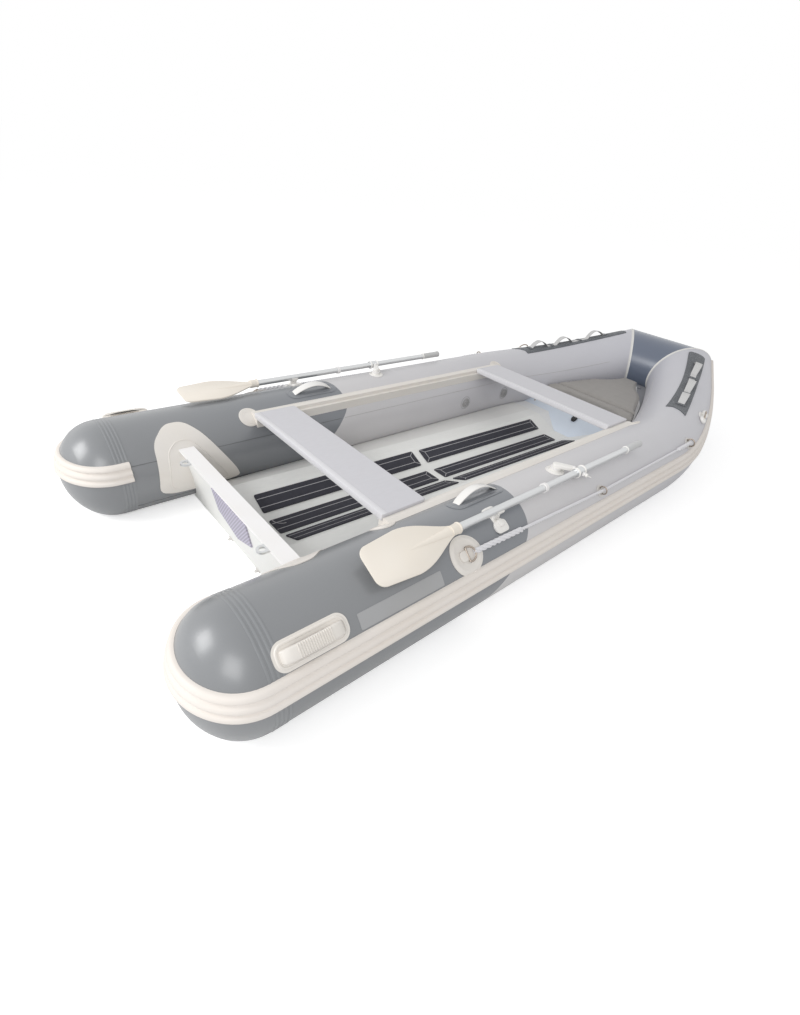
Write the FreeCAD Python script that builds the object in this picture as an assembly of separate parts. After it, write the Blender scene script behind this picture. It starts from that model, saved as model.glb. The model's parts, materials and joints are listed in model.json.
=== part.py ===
import FreeCAD, Part
import math
import os

os.makedirs("parts", exist_ok=True)

V = FreeCAD.Vector
UP = V(0, 0, 1)
ORIGIN = V(0, 0, 0)

# Driving dimensions of the boat, in millimetres.
# +X is forward, +Y is port, +Z is up, and the origin is on the waterline amidships.
LENGTH = 4222.0            # over the bare tubes
BEAM = 1728.0              # over the bare tubes
TUBE_DIAMETER = 430.0
AXIS_HEIGHT = 190.0        # axis of the straight tubes above the waterline
SEAT_CLEARANCE = 0.3       # gap between a piece and the curved tube that it is glued to
RUN_CLEARANCE = 8.0        # gap that the lid and its cushion keep from the tubes

# Stern
NOSE_LENGTH = 187.0
TRANSOM_INSET = 475.0      # from the tips of the noses to the middle of the transom cap
NOSE_SHOULDER_RADIUS = 168.0

# Bow
TOE_IN_START = 1567.0      # from the bow tip back to where the side tubes start to curve
BEND_TOE_SHARE = 0.797     # toe-in and climb of a side tube between its two bends,
BEND_CLIMB_SHARE = 0.429   # as shares of their mean from the bend's start to the corner
MITRE_TOE_SHARE = 1.537    # toe-in and climb of a side tube at its mitre
MITRE_CLIMB_SHARE = 1.8585
BOW_HALF_WIDTH = 221.0     # from the middle plane to the corner of the tubes' axes
BOW_RISE = 174.0

# Colour break between the dark stern tube and the pale side tube
BREAK_TOP_INSET = 1355.0   # from the nose tip to the break at the top of the tube
BREAK_TOP_HEIGHT = 150.0   # where the break turns down, above the axis
BREAK_RADIUS = 130.0
BREAK_SKEW_ANGLE = 9.6

# Rub strake
STRAKE_TOP = 80.0          # above the axis
STRAKE_BOTTOM = -78.0
STRAKE_WEB = 7.0
STRAKE_RIB = 15.0
STRAKE_RIB_COUNT = 3
STRAKE_VALLEY = 16.0
STRAKE_INNER_END = 100.0   # how far the strake runs forward on the inner side of the stern

# Aluminium hull
KEEL_BELOW_TUBES = 47.0    # at the transom
CHINE_SIDE_INSET = 26.0    # from the tubes' inner sides outwards
CHINE_ABOVE_TUBES = 30.0   # from the tubes' undersides up
FLANGE_WIDTH = 80.0
FLANGE_GAP = 6.6           # from the flange's outer edge to the tube
FLANGE_DEPTH = 45.0
KEEL_RISE_START = 1797.0   # from the bow's tip back to where the keel starts to rise
KEEL_FALL_SHARE = 0.5      # share of the deck's fall that the keel has
KEEL_CURVE = 2.2
STEM_INSET = 297.0         # from the bow's tip
STEM_HEIGHT = -52.0        # below the straight tubes' axis
BOW_STATION_SHARES = (0.27, 0.52, 0.72, 0.87, 0.95)

# Deck
DECK_AT_TRANSOM = -103.0   # below the tubes' axis, at the middle of the trough
DECK_TRIM = 1.64           # degrees that the deck falls forward against the tubes
DECK_THICKNESS = 4.0
TROUGH_FLAT_SHARE = 0.1267  # half widths as shares of the room beside the middle plane
TROUGH_SHARE = 0.4954
SHELF_SHARE = 0.6912
TROUGH_ANGLE = 23.0
SKIRT_GAP = 2.7            # from the skirt's outer edge to the tube
MAT_THICKNESS = 6.0
MAT_MARGIN = 7.5           # from a mat to the edge of the trough's flat
MAT_SLOPE_START = 50.0     # from the trough's flat up its sloping side
AFT_MAT_START = 175.0      # from the transom
FORE_MAT_END = 138.0       # from the locker's foot
AFT_MAT_SHARE = 0.472      # of the length of both rows
MAT_GAP = 52.0

# Thwarts
THWART_THICKNESS = 28.0
THWART_WIDTH = 216.0
THWART_LAP = 62.0          # of each end over the tube, from the tube's inner side
AFT_THWART_START = 352.0   # from the transom
FORE_THWART_START = 1781.0  # from the bow's tip
THWART_CORNER_RADIUS = 12.0
THWART_EDGE_RADIUS = 4.0

# Seat rails on the tubes
RAIL_WIDTH = 64.0
RAIL_INNER_OVERHANG = 20.0
RAIL_LIP = 16.0            # how far its outer edge stands above the thwarts' seat
RAIL_EDGE = 0.7            # of its outer edge above the tube
RAIL_END_RADIUS = 50.0     # round patch at each end of the rail
RAIL_END_ANGLE = 127.0
RAIL_END_OVERHANG = 19.0   # from the rail's end to the middle of that patch
RAIL_CROWN = 5.0
THWART_END_GAP = 1.0
PATCH_THICKNESS = 3.0

# Transom
TRANSOM_THICKNESS = 45.0
TRANSOM_TOP = 105.0        # above the tubes' axis
CAP_THICKNESS = 9.0
CAP_WIDTH = 67.0
LUG_FROM_TUBE = 92.0
LUG_RADIUS = 22.0
LUG_HOLE_DIAMETER = 24.0
LUG_REACH = 40.0
LUG_THICKNESS = 8.0
PAD_WIDTH = 300.0
PAD_HEIGHT = 183.0         # at the middle, down to the point of its V
PAD_THICKNESS = 6.0
PAD_DROP = 22.0
PAD_SIDE_HEIGHT = 121.0
RAKE_ANGLE = 10.0
DRAIN_DIAMETER = 30.0
DRAIN_ABOVE_KEEL = 62.0
DRAIN_LENGTH = 16.0
DRAIN_SPACING = 250.0
DRAIN_FLANGE_DIAMETER = 45.0
DRAIN_FLANGE_THICKNESS = 4.0
DRAIN_BORE = 21.0

# Moulded patch on each tube round the end of the transom: places forward of the transom
# and above the tubes' axis
TRANSOM_PATCH = ((-150, -100), (-120, 140), (-25, 196), (80, 165), (215, -30), (240, -100))

# Bow locker
LOCKER_FOOT = 1327.0       # from the bow's tip
LOCKER_HEAD = 1107.0
LID_AFT_HEIGHT = -10.0     # top of the lid above the tubes' axis, at its aft edge
LID_FORE_HEIGHT = 57.0
LID_THICKNESS = 12.0
LID_HINGE_GAP = 32.0       # from the bow tube back to the hinge
LID_TAPER = 44.0           # extra room beside the lid near its hinge, so that it can open
LID_TAPER_START = 0.55     # shares of the lid's length over which that room grows
LID_TAPER_END = 0.8
PLAN_POINTS = 8            # points of the lid's and the cushion's curved sides
PANEL_THICKNESS = 4.0
RIM_WIDTH = 30.0
HINGE_PIN_DIAMETER = 6.0
HINGE_BARREL_DIAMETER = 12.0
HINGE_END_GAP = 30.5       # from the hinge's ends to the tubes
CUSHION_THICKNESS = 48.0
CUSHION_INSET = 8.0
LATCH_WIDTH = 26.0
LATCH_LENGTH = 60.0
LATCH_THICKNESS = 8.0
LATCH_BELOW_LID = 10.0
HINGE_PLAY = 1.0           # between the knuckles, along the pin
HINGE_LEAF = 6.0

# Rowlocks and oars
OAR_OUTSET = 88.0          # oar's line outboard of the tube's axis
OAR_ABOVE_CROWN = 26.0
ROWLOCK_FROM_TRANSOM = 1215.0
PIVOT_FROM_TRANSOM = 1259.0
ROWLOCK_BASE_DIAMETER = 84.0
ROWLOCK_BOSS_DIAMETER = 46.0
ROWLOCK_BOSS_HEIGHT = 10.0
ROWLOCK_BOSS_SUNK = 4.0    # below the tube's crown before it is trimmed
ROWLOCK_DISC_THICKNESS = 5.0
SPIGOT_DIAMETER = 12.0
PIN_DIAMETER = 10.0
PIN_CLEARANCE = 0.3
OAR_SHAFT_DIAMETER = 30.0
OAR_GRIP_DIAMETER = 33.0
GRIP_KNOB_DIAMETER = 37.0
GRIP_KNOB_LENGTH = 14.0
GRIP_CHAMFER = 4.0
OAR_COLLAR_DIAMETER = 40.0
OAR_COLLAR_LENGTH = 60.0
OAR_BLADE_JOINT = 504.0
OAR_GRIP_START = 1678.0
OAR_GRIP_END = 1818.0
OAR_STOP = 999.0
BLADE_LENGTH = 440.0
BLADE_WIDTH = 170.0
BLADE_THICKNESS = 8.0
BLADE_SHOULDER = 265.0     # from the blade's root to its full width
BLADE_TIP_SHARE = 0.86     # width of the tip against the full width
BLADE_CORNER_RADIUS = 34.0
BLADE_RIB_LENGTH = 300.0
CLIP_FROM_TRANSOM = 705.0
CLIP_LENGTH = 34.0
CLIP_WALL = 5.0
CLIP_BASE_LENGTH = 66.0    # along the tube
CLIP_BASE_WIDTH = 108.0    # round the tube
CLIP_WAIST = 40.0          # length of the base under the shaft
CLIP_WAIST_WIDTH = 34.0
CLIP_BASE_ANGLE = 66.0
CLIP_CORNER_RADIUS = 14.0
SPIGOT_LENGTH = 9.0
ROWLOCK_COLUMN_DIAMETER = 24.0
ARM_WIDTH = 10.0
ARM_HEIGHT = 16.0
CHEEK_GAP = 1.0
CHEEK_DIAMETER = 26.0
NUT_DIAMETER = 16.0
NUT_LENGTH = 12.0
NUT_WING = 16.0
NUT_WING_THICKNESS = 4.0
OAR_STOP_LENGTH = 16.0
FERRULE_LENGTH = 60.0
BLADE_TILT = 25.0

# Bow patches and their webbing loops
BOW_PATCH_AFT = 1172.0     # from the bow's tip, at the middle of the patch's slanted end
BOW_PATCH_FORE = 307.0
BOW_PATCH_SPREAD = 34.0    # degrees round the tube
BOW_PATCH_SLANT = 25.0
AFT_LOOP = 987.0           # from the bow's tip
MIDDLE_LOOP = 787.0
FORE_LOOP = 567.0
BOW_LOOP_LENGTH = 130.0
BOW_LOOP_HEIGHT = 36.0

# Lifeline eyes, handles and valves
EYE_PATCH_RADIUS = 74.0
AFT_EYE = 523.0            # from the transom
MIDDLE_EYE = 1380.0
FORE_EYE = 1408.0          # from the bow's tip
SHOULDER_EYE = 1011.0
AFT_EYE_ANGLE = 42.0
MIDDLE_EYE_ANGLE = 40.0
FORE_EYE_ANGLE = 36.0
SHOULDER_EYE_ANGLE = 34.0
SHOULDER_PATCH_RADIUS = 40.0
SMALL_EYE_PATCH_RADIUS = 24.0
EYE_RING_RADIUS = 17.0
EYE_RING_HEIGHT = 20.0
EYE_BOSS_HEIGHT = 6.0
EYE_BOSS_SUNK = 2.0
EYE_WIRE_DIAMETER = 6.0
WEBBING_WIDTH = 34.0
WEBBING_THICKNESS = 4.0
ARCH_FOOT = 8.0            # how far a band's feet go below the surface before they are trimmed
HANDLE_PATCH_RADIUS = 30.0
CARRY_PATCH_MARGIN = 35.0
CARRY_PATCH_WIDTH = 82.0
CARRY_START = 625.0
CARRY_END = 851.0
CARRY_HEIGHT = 42.0
CARRY_ANGLE = 103.0
STERN_GRIP_START = -262.0
STERN_GRIP_END = -22.0
STERN_GRIP_ANGLE = 41.0
STERN_GRIP_HEIGHT = 34.0
STERN_GRIP_WIDTH = 34.0
STERN_GRIP_THICKNESS = 12.0
STERN_GRIP_FOOT = 35.0     # length of each foot along the tube
STERN_GRIP_SHOULDER_SHARE = 0.75  # height of a foot's shoulder against the grip's
STERN_GRIP_EDGE_RADIUS = 4.0
STERN_GRIP_MARGIN = 33.0   # of the patch beyond each foot of the grip
STERN_PATCH_WIDTH = 88.0
AFT_VALVE = 1908.0         # from the bow's tip
FORE_VALVE = 1497.0
VALVE_DIAMETER = 62.0
VALVE_FLANGE = 4.0
VALVE_SUNK = 10.0          # of the flange below the tube's surface before it is trimmed
VALVE_CAP_DIAMETER = 37.0
VALVE_HEIGHT = 12.0

# Sizes that follow from the ones above.
TUBE_RADIUS = TUBE_DIAMETER / 2
SEAT_RADIUS = TUBE_RADIUS + SEAT_CLEARANCE
TUBE_SIDE = BEAM / 2 - TUBE_RADIUS
BOW_X = LENGTH / 2
STERN_X = -LENGTH / 2
TRANSOM_X = STERN_X + TRANSOM_INSET
RAKE = math.radians(RAKE_ANGLE)
RAKE_NORMAL = V(math.cos(RAKE), 0, math.sin(RAKE))
SEAM_X = STERN_X + NOSE_LENGTH
TOE_X = BOW_X - TOE_IN_START
CORNER = V(BOW_X - TUBE_RADIUS, BOW_HALF_WIDTH, AXIS_HEIGHT + BOW_RISE)
CLEAR_HALF = TUBE_SIDE - TUBE_RADIUS
CHINE_IN = TUBE_RADIUS - CHINE_SIDE_INSET
CHINE_DOWN = TUBE_RADIUS - CHINE_ABOVE_TUBES
FLANGE_OUT = CHINE_IN - FLANGE_WIDTH
FLANGE_DOWN = math.sqrt((TUBE_RADIUS + FLANGE_GAP) ** 2 - FLANGE_OUT ** 2)
SKIRT_DROP = math.sqrt((TUBE_RADIUS + SKIRT_GAP) ** 2 - CHINE_IN ** 2)
TROUGH_HALF = CLEAR_HALF * TROUGH_FLAT_SHARE
TROUGH_EDGE = CLEAR_HALF * TROUGH_SHARE
SHELF_EDGE = CLEAR_HALF * SHELF_SHARE
MAT_WIDTH = 2 * (TROUGH_HALF - MAT_MARGIN)
THWART_HALF_LENGTH = CLEAR_HALF + THWART_LAP
RAIL_INNER = THWART_HALF_LENGTH - RAIL_INNER_OVERHANG
RAIL_OUTER = RAIL_INNER + RAIL_WIDTH
RAIL_TOP = math.sqrt(TUBE_RADIUS ** 2 - (TUBE_SIDE - RAIL_OUTER) ** 2) + RAIL_EDGE
THWART_SEAT = RAIL_TOP - RAIL_LIP
THWART_TOP = THWART_SEAT + THWART_THICKNESS
OAR_SIDE = TUBE_SIDE + OAR_OUTSET
OAR_HEIGHT = TUBE_RADIUS + OAR_ABOVE_CROWN


def aft(distance):
    """Place along X of a point given forward of the transom."""
    return TRANSOM_X + distance


def from_bow(distance):
    """Place along X of a point given aft of the bow's tip."""
    return BOW_X - distance


def heading(toe_angle, climb_angle):
    """Direction of the port tube at a toe-in and a climb, in degrees."""
    toe = math.radians(toe_angle)
    climb = math.radians(climb_angle)
    return V(math.cos(climb) * math.cos(toe), -math.cos(climb) * math.sin(toe), math.sin(climb))


RUN = CORNER - V(TOE_X, TUBE_SIDE, AXIS_HEIGHT)
MEAN_TOE = math.degrees(math.atan2(-RUN.y, RUN.x))
MEAN_CLIMB = math.degrees(math.atan2(RUN.z, math.hypot(RUN.x, RUN.y)))
HEADINGS = (V(1, 0, 0), heading(MEAN_TOE * BEND_TOE_SHARE, MEAN_CLIMB * BEND_CLIMB_SHARE),
            heading(MEAN_TOE * MITRE_TOE_SHARE, MEAN_CLIMB * MITRE_CLIMB_SHARE))


def bend_reaches():
    """Tangent lengths of the tube's two bends and its last straight run, up to the corner.

    Each bend leaves its start along one heading and ends along the next, so the corner
    is the start plus each sum of headings times its tangent length.
    """
    first, second, third = HEADINGS
    columns = (first + second, second + third, third)
    whole = columns[0].dot(columns[1].cross(columns[2]))
    return (RUN.dot(columns[1].cross(columns[2])) / whole,
            columns[0].dot(RUN.cross(columns[2])) / whole,
            columns[0].dot(columns[1].cross(RUN)) / whole)


class Bend:
    """Circular bend of the port tube's axis, from one heading to the next."""

    def __init__(self, start, before, after, reach):
        self.start = start
        self.before = before
        self.end = start + (before + after) * reach
        self.angle = before.getAngle(after)
        self.radius = reach / math.tan(self.angle / 2)
        self.axis = before.cross(after).normalize()
        self.centre = start + self.axis.cross(before) * self.radius

    def turned(self, vector, share):
        """A vector turned with the tube through a share of the bend."""
        turn = FreeCAD.Rotation(self.axis, math.degrees(self.angle) * share)
        return turn.multVec(vector)

    def point(self, share):
        """Point on the axis after a share of the bend."""
        return self.centre + self.turned(self.start - self.centre, share)

    def solid(self, outline):
        """An outline at the bend's start, turned round the bend."""
        return outline.revolve(self.centre, self.axis, math.degrees(self.angle))


def bends():
    """The port tube's two bends."""
    reaches = bend_reaches()
    first = Bend(V(TOE_X, TUBE_SIDE, AXIS_HEIGHT), HEADINGS[0], HEADINGS[1], reaches[0])
    second = Bend(first.end, HEADINGS[1], HEADINGS[2], reaches[1])
    return first, second


FIRST_BEND, SECOND_BEND = bends()


def tube_axis(x):
    """Point on the port tube's axis at a given X."""
    if x <= TOE_X:
        return V(x, TUBE_SIDE, AXIS_HEIGHT)
    if x >= SECOND_BEND.end.x:
        return SECOND_BEND.end + HEADINGS[2] * ((x - SECOND_BEND.end.x) / HEADINGS[2].x)
    bend = FIRST_BEND if x < FIRST_BEND.end.x else SECOND_BEND
    low, high = 0.0, 1.0
    for _ in range(40):
        middle = (low + high) / 2
        if bend.point(middle).x < x:
            low = middle
        else:
            high = middle
    return bend.point(low)


def mirrored(shape):
    """The starboard copy of a port shape."""
    return shape.mirror(ORIGIN, V(0, 1, 0))


def both_sides(shape):
    """A port shape and its starboard copy in one compound."""
    return Part.makeCompound([shape, mirrored(shape)])


def face_of(points):
    """Flat face inside a closed polygon."""
    return Part.Face(Part.makePolygon(points + [points[0]]))


def prism(points, direction):
    """Solid made by moving a polygon along a direction."""
    return face_of(points).extrude(direction)


def box(x0, x1, y0, y1, z0, z1):
    """Box between two corners."""
    return Part.makeBox(x1 - x0, y1 - y0, z1 - z0, V(x0, y0, z0))


def rod(start, end, diameter):
    """Round bar between two points."""
    return Part.makeCylinder(diameter / 2, (end - start).Length, start, end - start)


def half_space(point, normal):
    """Block as large as the boat that fills the side of a plane that the normal points to."""
    block = Part.makeBox(LENGTH, LENGTH, LENGTH, V(-LENGTH / 2, -LENGTH / 2, 0))
    block.Placement = FreeCAD.Placement(point, FreeCAD.Rotation(UP, normal))
    return block


def joined(shapes):
    """One solid from several that overlap or touch."""
    result = shapes[0]
    for shape in shapes[1:]:
        result = result.fuse(shape)
    return result.removeSplitter()


def largest(shape):
    """The biggest of a shape's solids."""
    return max(shape.Solids, key=lambda solid: solid.Volume)


def mitre_normal():
    """Normal of the plane in which the port tube meets the bow tube."""
    normal = HEADINGS[2] + V(0, -1, 0)
    return normal.normalize()


def along_tube(outline, start_x):
    """Solid that carries a flat outline along the port tube from an X to its mitre.

    The outline stands across the tube's straight stretch at start_x.
    """
    run = outline.extrude(V(TOE_X - start_x, 0, 0))
    section = outline.translated(V(TOE_X - start_x, 0, 0))
    pieces = [run]
    for bend in (FIRST_BEND, SECOND_BEND):
        pieces.append(bend.solid(section))
        section = section.rotated(bend.centre, bend.axis, math.degrees(bend.angle))
    lead = (CORNER - SECOND_BEND.end).Length + TUBE_DIAMETER
    pieces.append(section.extrude(HEADINGS[2] * lead))
    return joined(pieces).cut(half_space(CORNER, mitre_normal()))


def tube_up():
    """Upward direction of the port tube's section at its mitre."""
    return SECOND_BEND.turned(FIRST_BEND.turned(UP, 1), 1)


def swept_tube(start_x, radius):
    """Port tube from a given X to its mitre, with any radius."""
    circle = Part.makeCircle(radius, V(start_x, TUBE_SIDE, AXIS_HEIGHT), V(1, 0, 0))
    return along_tube(Part.Face(Part.Wire([circle])), start_x)


def straight_tube(x0, x1, radius):
    """Straight stretch of the port tube with any radius."""
    return Part.makeCylinder(radius, x1 - x0, V(x0, TUBE_SIDE, AXIS_HEIGHT), V(1, 0, 0))


def bow_tube(radius):
    """Tube across the bow, between its two mitres."""
    half = BOW_HALF_WIDTH + TUBE_DIAMETER
    tube = Part.makeCylinder(radius, 2 * half, V(CORNER.x, -half, CORNER.z), V(0, 1, 0))
    return between_mitres(tube)


def between_mitres(shape):
    """The part of a shape across the bow that lies between the two mitre planes."""
    normal = mitre_normal()
    port_cut = half_space(CORNER, -normal)
    starboard_cut = half_space(V(CORNER.x, -CORNER.y, CORNER.z), V(-normal.x, normal.y, -normal.z))
    return shape.cut(port_cut).cut(starboard_cut)


def nose(extra):
    """Rounded stern end of the port tube, grown by a wall thickness."""
    centre = V(SEAM_X, TUBE_SIDE, AXIS_HEIGHT)
    shoulder = NOSE_SHOULDER_RADIUS
    crown_radius = ((TUBE_RADIUS ** 2 + NOSE_LENGTH ** 2 - 2 * TUBE_RADIUS * shoulder)
                    / (2 * (NOSE_LENGTH - shoulder)))
    shoulder_centre = centre + UP * (TUBE_RADIUS - shoulder)
    crown_centre = centre + V(crown_radius - NOSE_LENGTH, 0, 0)
    line = (shoulder_centre - crown_centre).normalize()
    turn = math.acos(-line.x)

    def on_arc(middle, radius, angle):
        return middle + V(-math.cos(angle), 0, math.sin(angle)) * (radius + extra)
    rim = on_arc(shoulder_centre, shoulder, math.pi / 2)
    joint = on_arc(crown_centre, crown_radius, turn)
    tip = on_arc(crown_centre, crown_radius, 0)
    outline = Part.Wire([
        Part.Arc(rim, on_arc(shoulder_centre, shoulder, (turn + math.pi / 2) / 2), joint).toShape(),
        Part.Arc(joint, on_arc(crown_centre, crown_radius, turn / 2), tip).toShape(),
        Part.makeLine(tip, centre), Part.makeLine(centre, rim)])
    return Part.Face(outline).revolve(centre, V(1, 0, 0), 360)


def colour_break():
    """Tool solid that lies forward of the curved colour break on the port tube."""
    top_x = STERN_X + BREAK_TOP_INSET
    bend = V(top_x, 0, AXIS_HEIGHT + BREAK_TOP_HEIGHT)
    diagonal = V(-1, 0, -1).normalize()
    turn = BREAK_RADIUS * math.tan(math.radians(45) / 2)
    upper = bend + V(0, 0, turn)
    lower = bend + diagonal * turn
    centre = upper - V(BREAK_RADIUS, 0, 0)
    middle = centre + V(math.cos(math.pi / 8), 0, -math.sin(math.pi / 8)) * BREAK_RADIUS
    foot = bend + diagonal * (4 * TUBE_RADIUS)
    head = upper + V(0, 0, 2 * TUBE_RADIUS)
    far = V(BOW_X + TUBE_RADIUS, 0, 0)
    outline = Part.Wire([
        Part.makeLine(foot, lower), Part.Arc(lower, middle, upper).toShape(),
        Part.makeLine(upper, head), Part.makeLine(head, V(far.x, 0, head.z)),
        Part.makeLine(V(far.x, 0, head.z), V(far.x, 0, foot.z)),
        Part.makeLine(V(far.x, 0, foot.z), foot)])
    tool = Part.Face(outline).extrude(V(0, 2 * BEAM, 0))
    tool.translate(V(0, -BEAM, 0))
    tool.rotate(V(top_x, 0, 0), UP, BREAK_SKEW_ANGLE)
    tool.translate(V(0, TUBE_SIDE, 0))
    return tool


def strake_levels():
    """Heights of the edges of the strake's ribs and valleys above the axis."""
    height = STRAKE_TOP - STRAKE_BOTTOM
    rib = (height - STRAKE_VALLEY * (STRAKE_RIB_COUNT - 1)) / STRAKE_RIB_COUNT
    levels = []
    for index in range(STRAKE_RIB_COUNT):
        low = STRAKE_BOTTOM + index * (rib + STRAKE_VALLEY)
        levels.append((low, low + rib))
    return levels


def on_circle(radius, height, centre, outward):
    """Point at a height on a circle about the tube's axis."""
    return centre + outward * math.sqrt(radius ** 2 - height ** 2) + UP * height


def strake_face(centre, outward):
    """Cross-section of the rub strake: webs and raised ribs on the tube's side."""
    web = SEAT_RADIUS + STRAKE_WEB
    rib = SEAT_RADIUS + STRAKE_RIB
    edges = []
    corner = on_circle(SEAT_RADIUS, STRAKE_BOTTOM, centre, outward)
    start = corner
    previous_top = None
    for low, high in strake_levels():
        if previous_top is not None:
            a = on_circle(web, previous_top, centre, outward)
            b = on_circle(web, low, centre, outward)
            middle = on_circle(web, (previous_top + low) / 2, centre, outward)
            edges.append(Part.makeLine(corner, a))
            edges.append(Part.Arc(a, middle, b).toShape())
            corner = b
        a = on_circle(rib, low, centre, outward)
        b = on_circle(rib, high, centre, outward)
        middle = on_circle(rib, (low + high) / 2, centre, outward)
        edges.append(Part.makeLine(corner, a))
        edges.append(Part.Arc(a, middle, b).toShape())
        corner = b
        previous_top = high
    top = on_circle(SEAT_RADIUS, STRAKE_TOP, centre, outward)
    middle = on_circle(SEAT_RADIUS, (STRAKE_TOP + STRAKE_BOTTOM) / 2, centre, outward)
    edges.append(Part.makeLine(corner, top))
    edges.append(Part.Arc(top, middle, start).toShape())
    return Part.Face(Part.Wire(edges))


def side_strake():
    """Rub strake along the port tube, from the nose seam to the mitre."""
    start = V(SEAM_X, TUBE_SIDE, AXIS_HEIGHT)
    side = along_tube(strake_face(start, V(0, 1, 0)), SEAM_X)
    inner = strake_face(start, V(0, -1, 0)).extrude(V(STRAKE_INNER_END, 0, 0))
    return joined([side, nose_strake(), inner])


def nose_strake():
    """Rub strake round the port nose, as a band of even height."""
    reach = 2 * TUBE_RADIUS

    def slab(low, high):
        return box(STERN_X - reach, SEAM_X, TUBE_SIDE - reach, TUBE_SIDE + reach,
                   AXIS_HEIGHT + low, AXIS_HEIGHT + high)
    band = nose(SEAT_CLEARANCE + STRAKE_RIB).common(slab(STRAKE_BOTTOM, STRAKE_TOP))
    levels = strake_levels()
    web = nose(SEAT_CLEARANCE + STRAKE_WEB)
    for below, above in zip(levels, levels[1:]):
        band = band.cut(slab(below[1], above[0]).cut(web))
    return band.cut(nose(SEAT_CLEARANCE))


def reflected(vector):
    """A direction mirrored in the plane of the port mitre."""
    normal = mitre_normal()
    return vector - normal * (2 * vector.dot(normal))


def bow_strake_roll():
    """Turn of the bow strake about the bow tube, so that its ribs meet the side ribs."""
    mirror = reflected(tube_up())
    return math.degrees(math.atan2(mirror.x, mirror.z))


def bow_strake():
    """Rub strake across the bow, cut at both mitres."""
    half = BOW_HALF_WIDTH + TUBE_DIAMETER
    centre = V(CORNER.x, -half, CORNER.z)
    strake = strake_face(centre, V(1, 0, 0)).extrude(V(0, 2 * half, 0))
    strake.rotate(centre, V(0, 1, 0), bow_strake_roll())
    return between_mitres(strake)


def tube_frame(x, angle, radius):
    """Placement on the port tube: local Z points out of it, local X runs along it."""
    step = 1.0
    tangent = tube_axis(x + step) - tube_axis(x - step)
    tangent.normalize()
    side = UP.cross(tangent)
    rotation = FreeCAD.Rotation(tangent, side, ORIGIN, "XYZ")
    turned = rotation.multiply(FreeCAD.Rotation(V(1, 0, 0), angle - 90))
    return FreeCAD.Placement(tube_axis(x) + turned.multVec(UP) * radius, turned)


def on_tube(shape, x, angle, radius):
    """A shape that was built about the origin, set on the port tube."""
    placed = shape.copy()
    placed.Placement = tube_frame(x, angle, radius).multiply(placed.Placement)
    return placed


def tube_shell(x0, x1, inner, outer):
    """Wall between two radii on the straight stretch of the port tube."""
    return straight_tube(x0, x1, outer).cut(straight_tube(x0, x1, inner))


def round_patch(x, angle, radius, thickness):
    """Round patch that follows the curve of the port tube."""
    punch = on_tube(Part.makeCylinder(radius, TUBE_RADIUS), x, angle, TUBE_RADIUS / 2)
    if x + radius < TOE_X:
        shell = tube_shell(x - 2 * radius, x + 2 * radius, SEAT_RADIUS, SEAT_RADIUS + thickness)
    else:
        start = TOE_X - radius
        shell = swept_tube(start, SEAT_RADIUS + thickness).cut(swept_tube(start, SEAT_RADIUS))
    return shell.common(punch)


# Deck and hull

def deck_middle(x):
    """Height of the trough's flat middle at a given X."""
    fall = math.tan(math.radians(DECK_TRIM))
    foot = min(x, from_bow(LOCKER_FOOT))
    climb = tube_axis(x).z - tube_axis(foot).z
    return AXIS_HEIGHT + DECK_AT_TRANSOM - (foot - TRANSOM_X) * fall + climb


def narrowing(x):
    """How narrow the space between the tubes is forward of the locker's foot, as a share."""
    foot = min(x, from_bow(LOCKER_FOOT))
    return (tube_axis(x).y - TUBE_RADIUS) / (tube_axis(foot).y - TUBE_RADIUS)


def shelf_rise():
    """Height of the deck's side shelves above its middle."""
    return (TROUGH_EDGE - TROUGH_HALF) * math.tan(math.radians(TROUGH_ANGLE))


def deck_line(x, drop):
    """Port half of the deck's section at X, from the middle out, lowered by a drop."""
    k = narrowing(x)
    z = deck_middle(x) - drop
    high = z + shelf_rise()
    return [V(x, 0, z), V(x, TROUGH_HALF * k, z), V(x, TROUGH_EDGE * k, high),
            V(x, SHELF_EDGE * k, high)]


def symmetric_ring(port_half):
    """Closed polygon from its port half, both of whose ends are on the middle plane."""
    other = [V(p.x, -p.y, p.z) for p in reversed(port_half) if p.y > 1e-6]
    points = port_half + other
    return Part.makePolygon(points + [points[0]])


def keel_height(x):
    """Height of the keel at X: straight aft, then up to the stem in a smooth curve."""
    straight_end = from_bow(KEEL_RISE_START)
    stem = from_bow(STEM_INSET)
    fall = math.tan(math.radians(DECK_TRIM)) * KEEL_FALL_SHARE
    low = AXIS_HEIGHT - TUBE_RADIUS - KEEL_BELOW_TUBES - (min(x, straight_end) - TRANSOM_X) * fall
    if x <= straight_end:
        return low
    share = (x - straight_end) / (stem - straight_end)
    return low + (AXIS_HEIGHT + STEM_HEIGHT - low) * share ** KEEL_CURVE


def hull_section(x):
    """Section of the aluminium hull at X, up to the underside of the deck."""
    axis = tube_axis(x)
    chine = V(x, axis.y - CHINE_IN, axis.z - CHINE_DOWN)
    flange = V(x, axis.y - FLANGE_OUT, axis.z - FLANGE_DOWN)
    outer = V(x, chine.y, axis.z - SKIRT_DROP - DECK_THICKNESS)
    half = [V(x, 0, keel_height(x)), chine, flange, flange + UP * FLANGE_DEPTH, outer]
    return half + list(reversed(deck_line(x, DECK_THICKNESS)))


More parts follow.
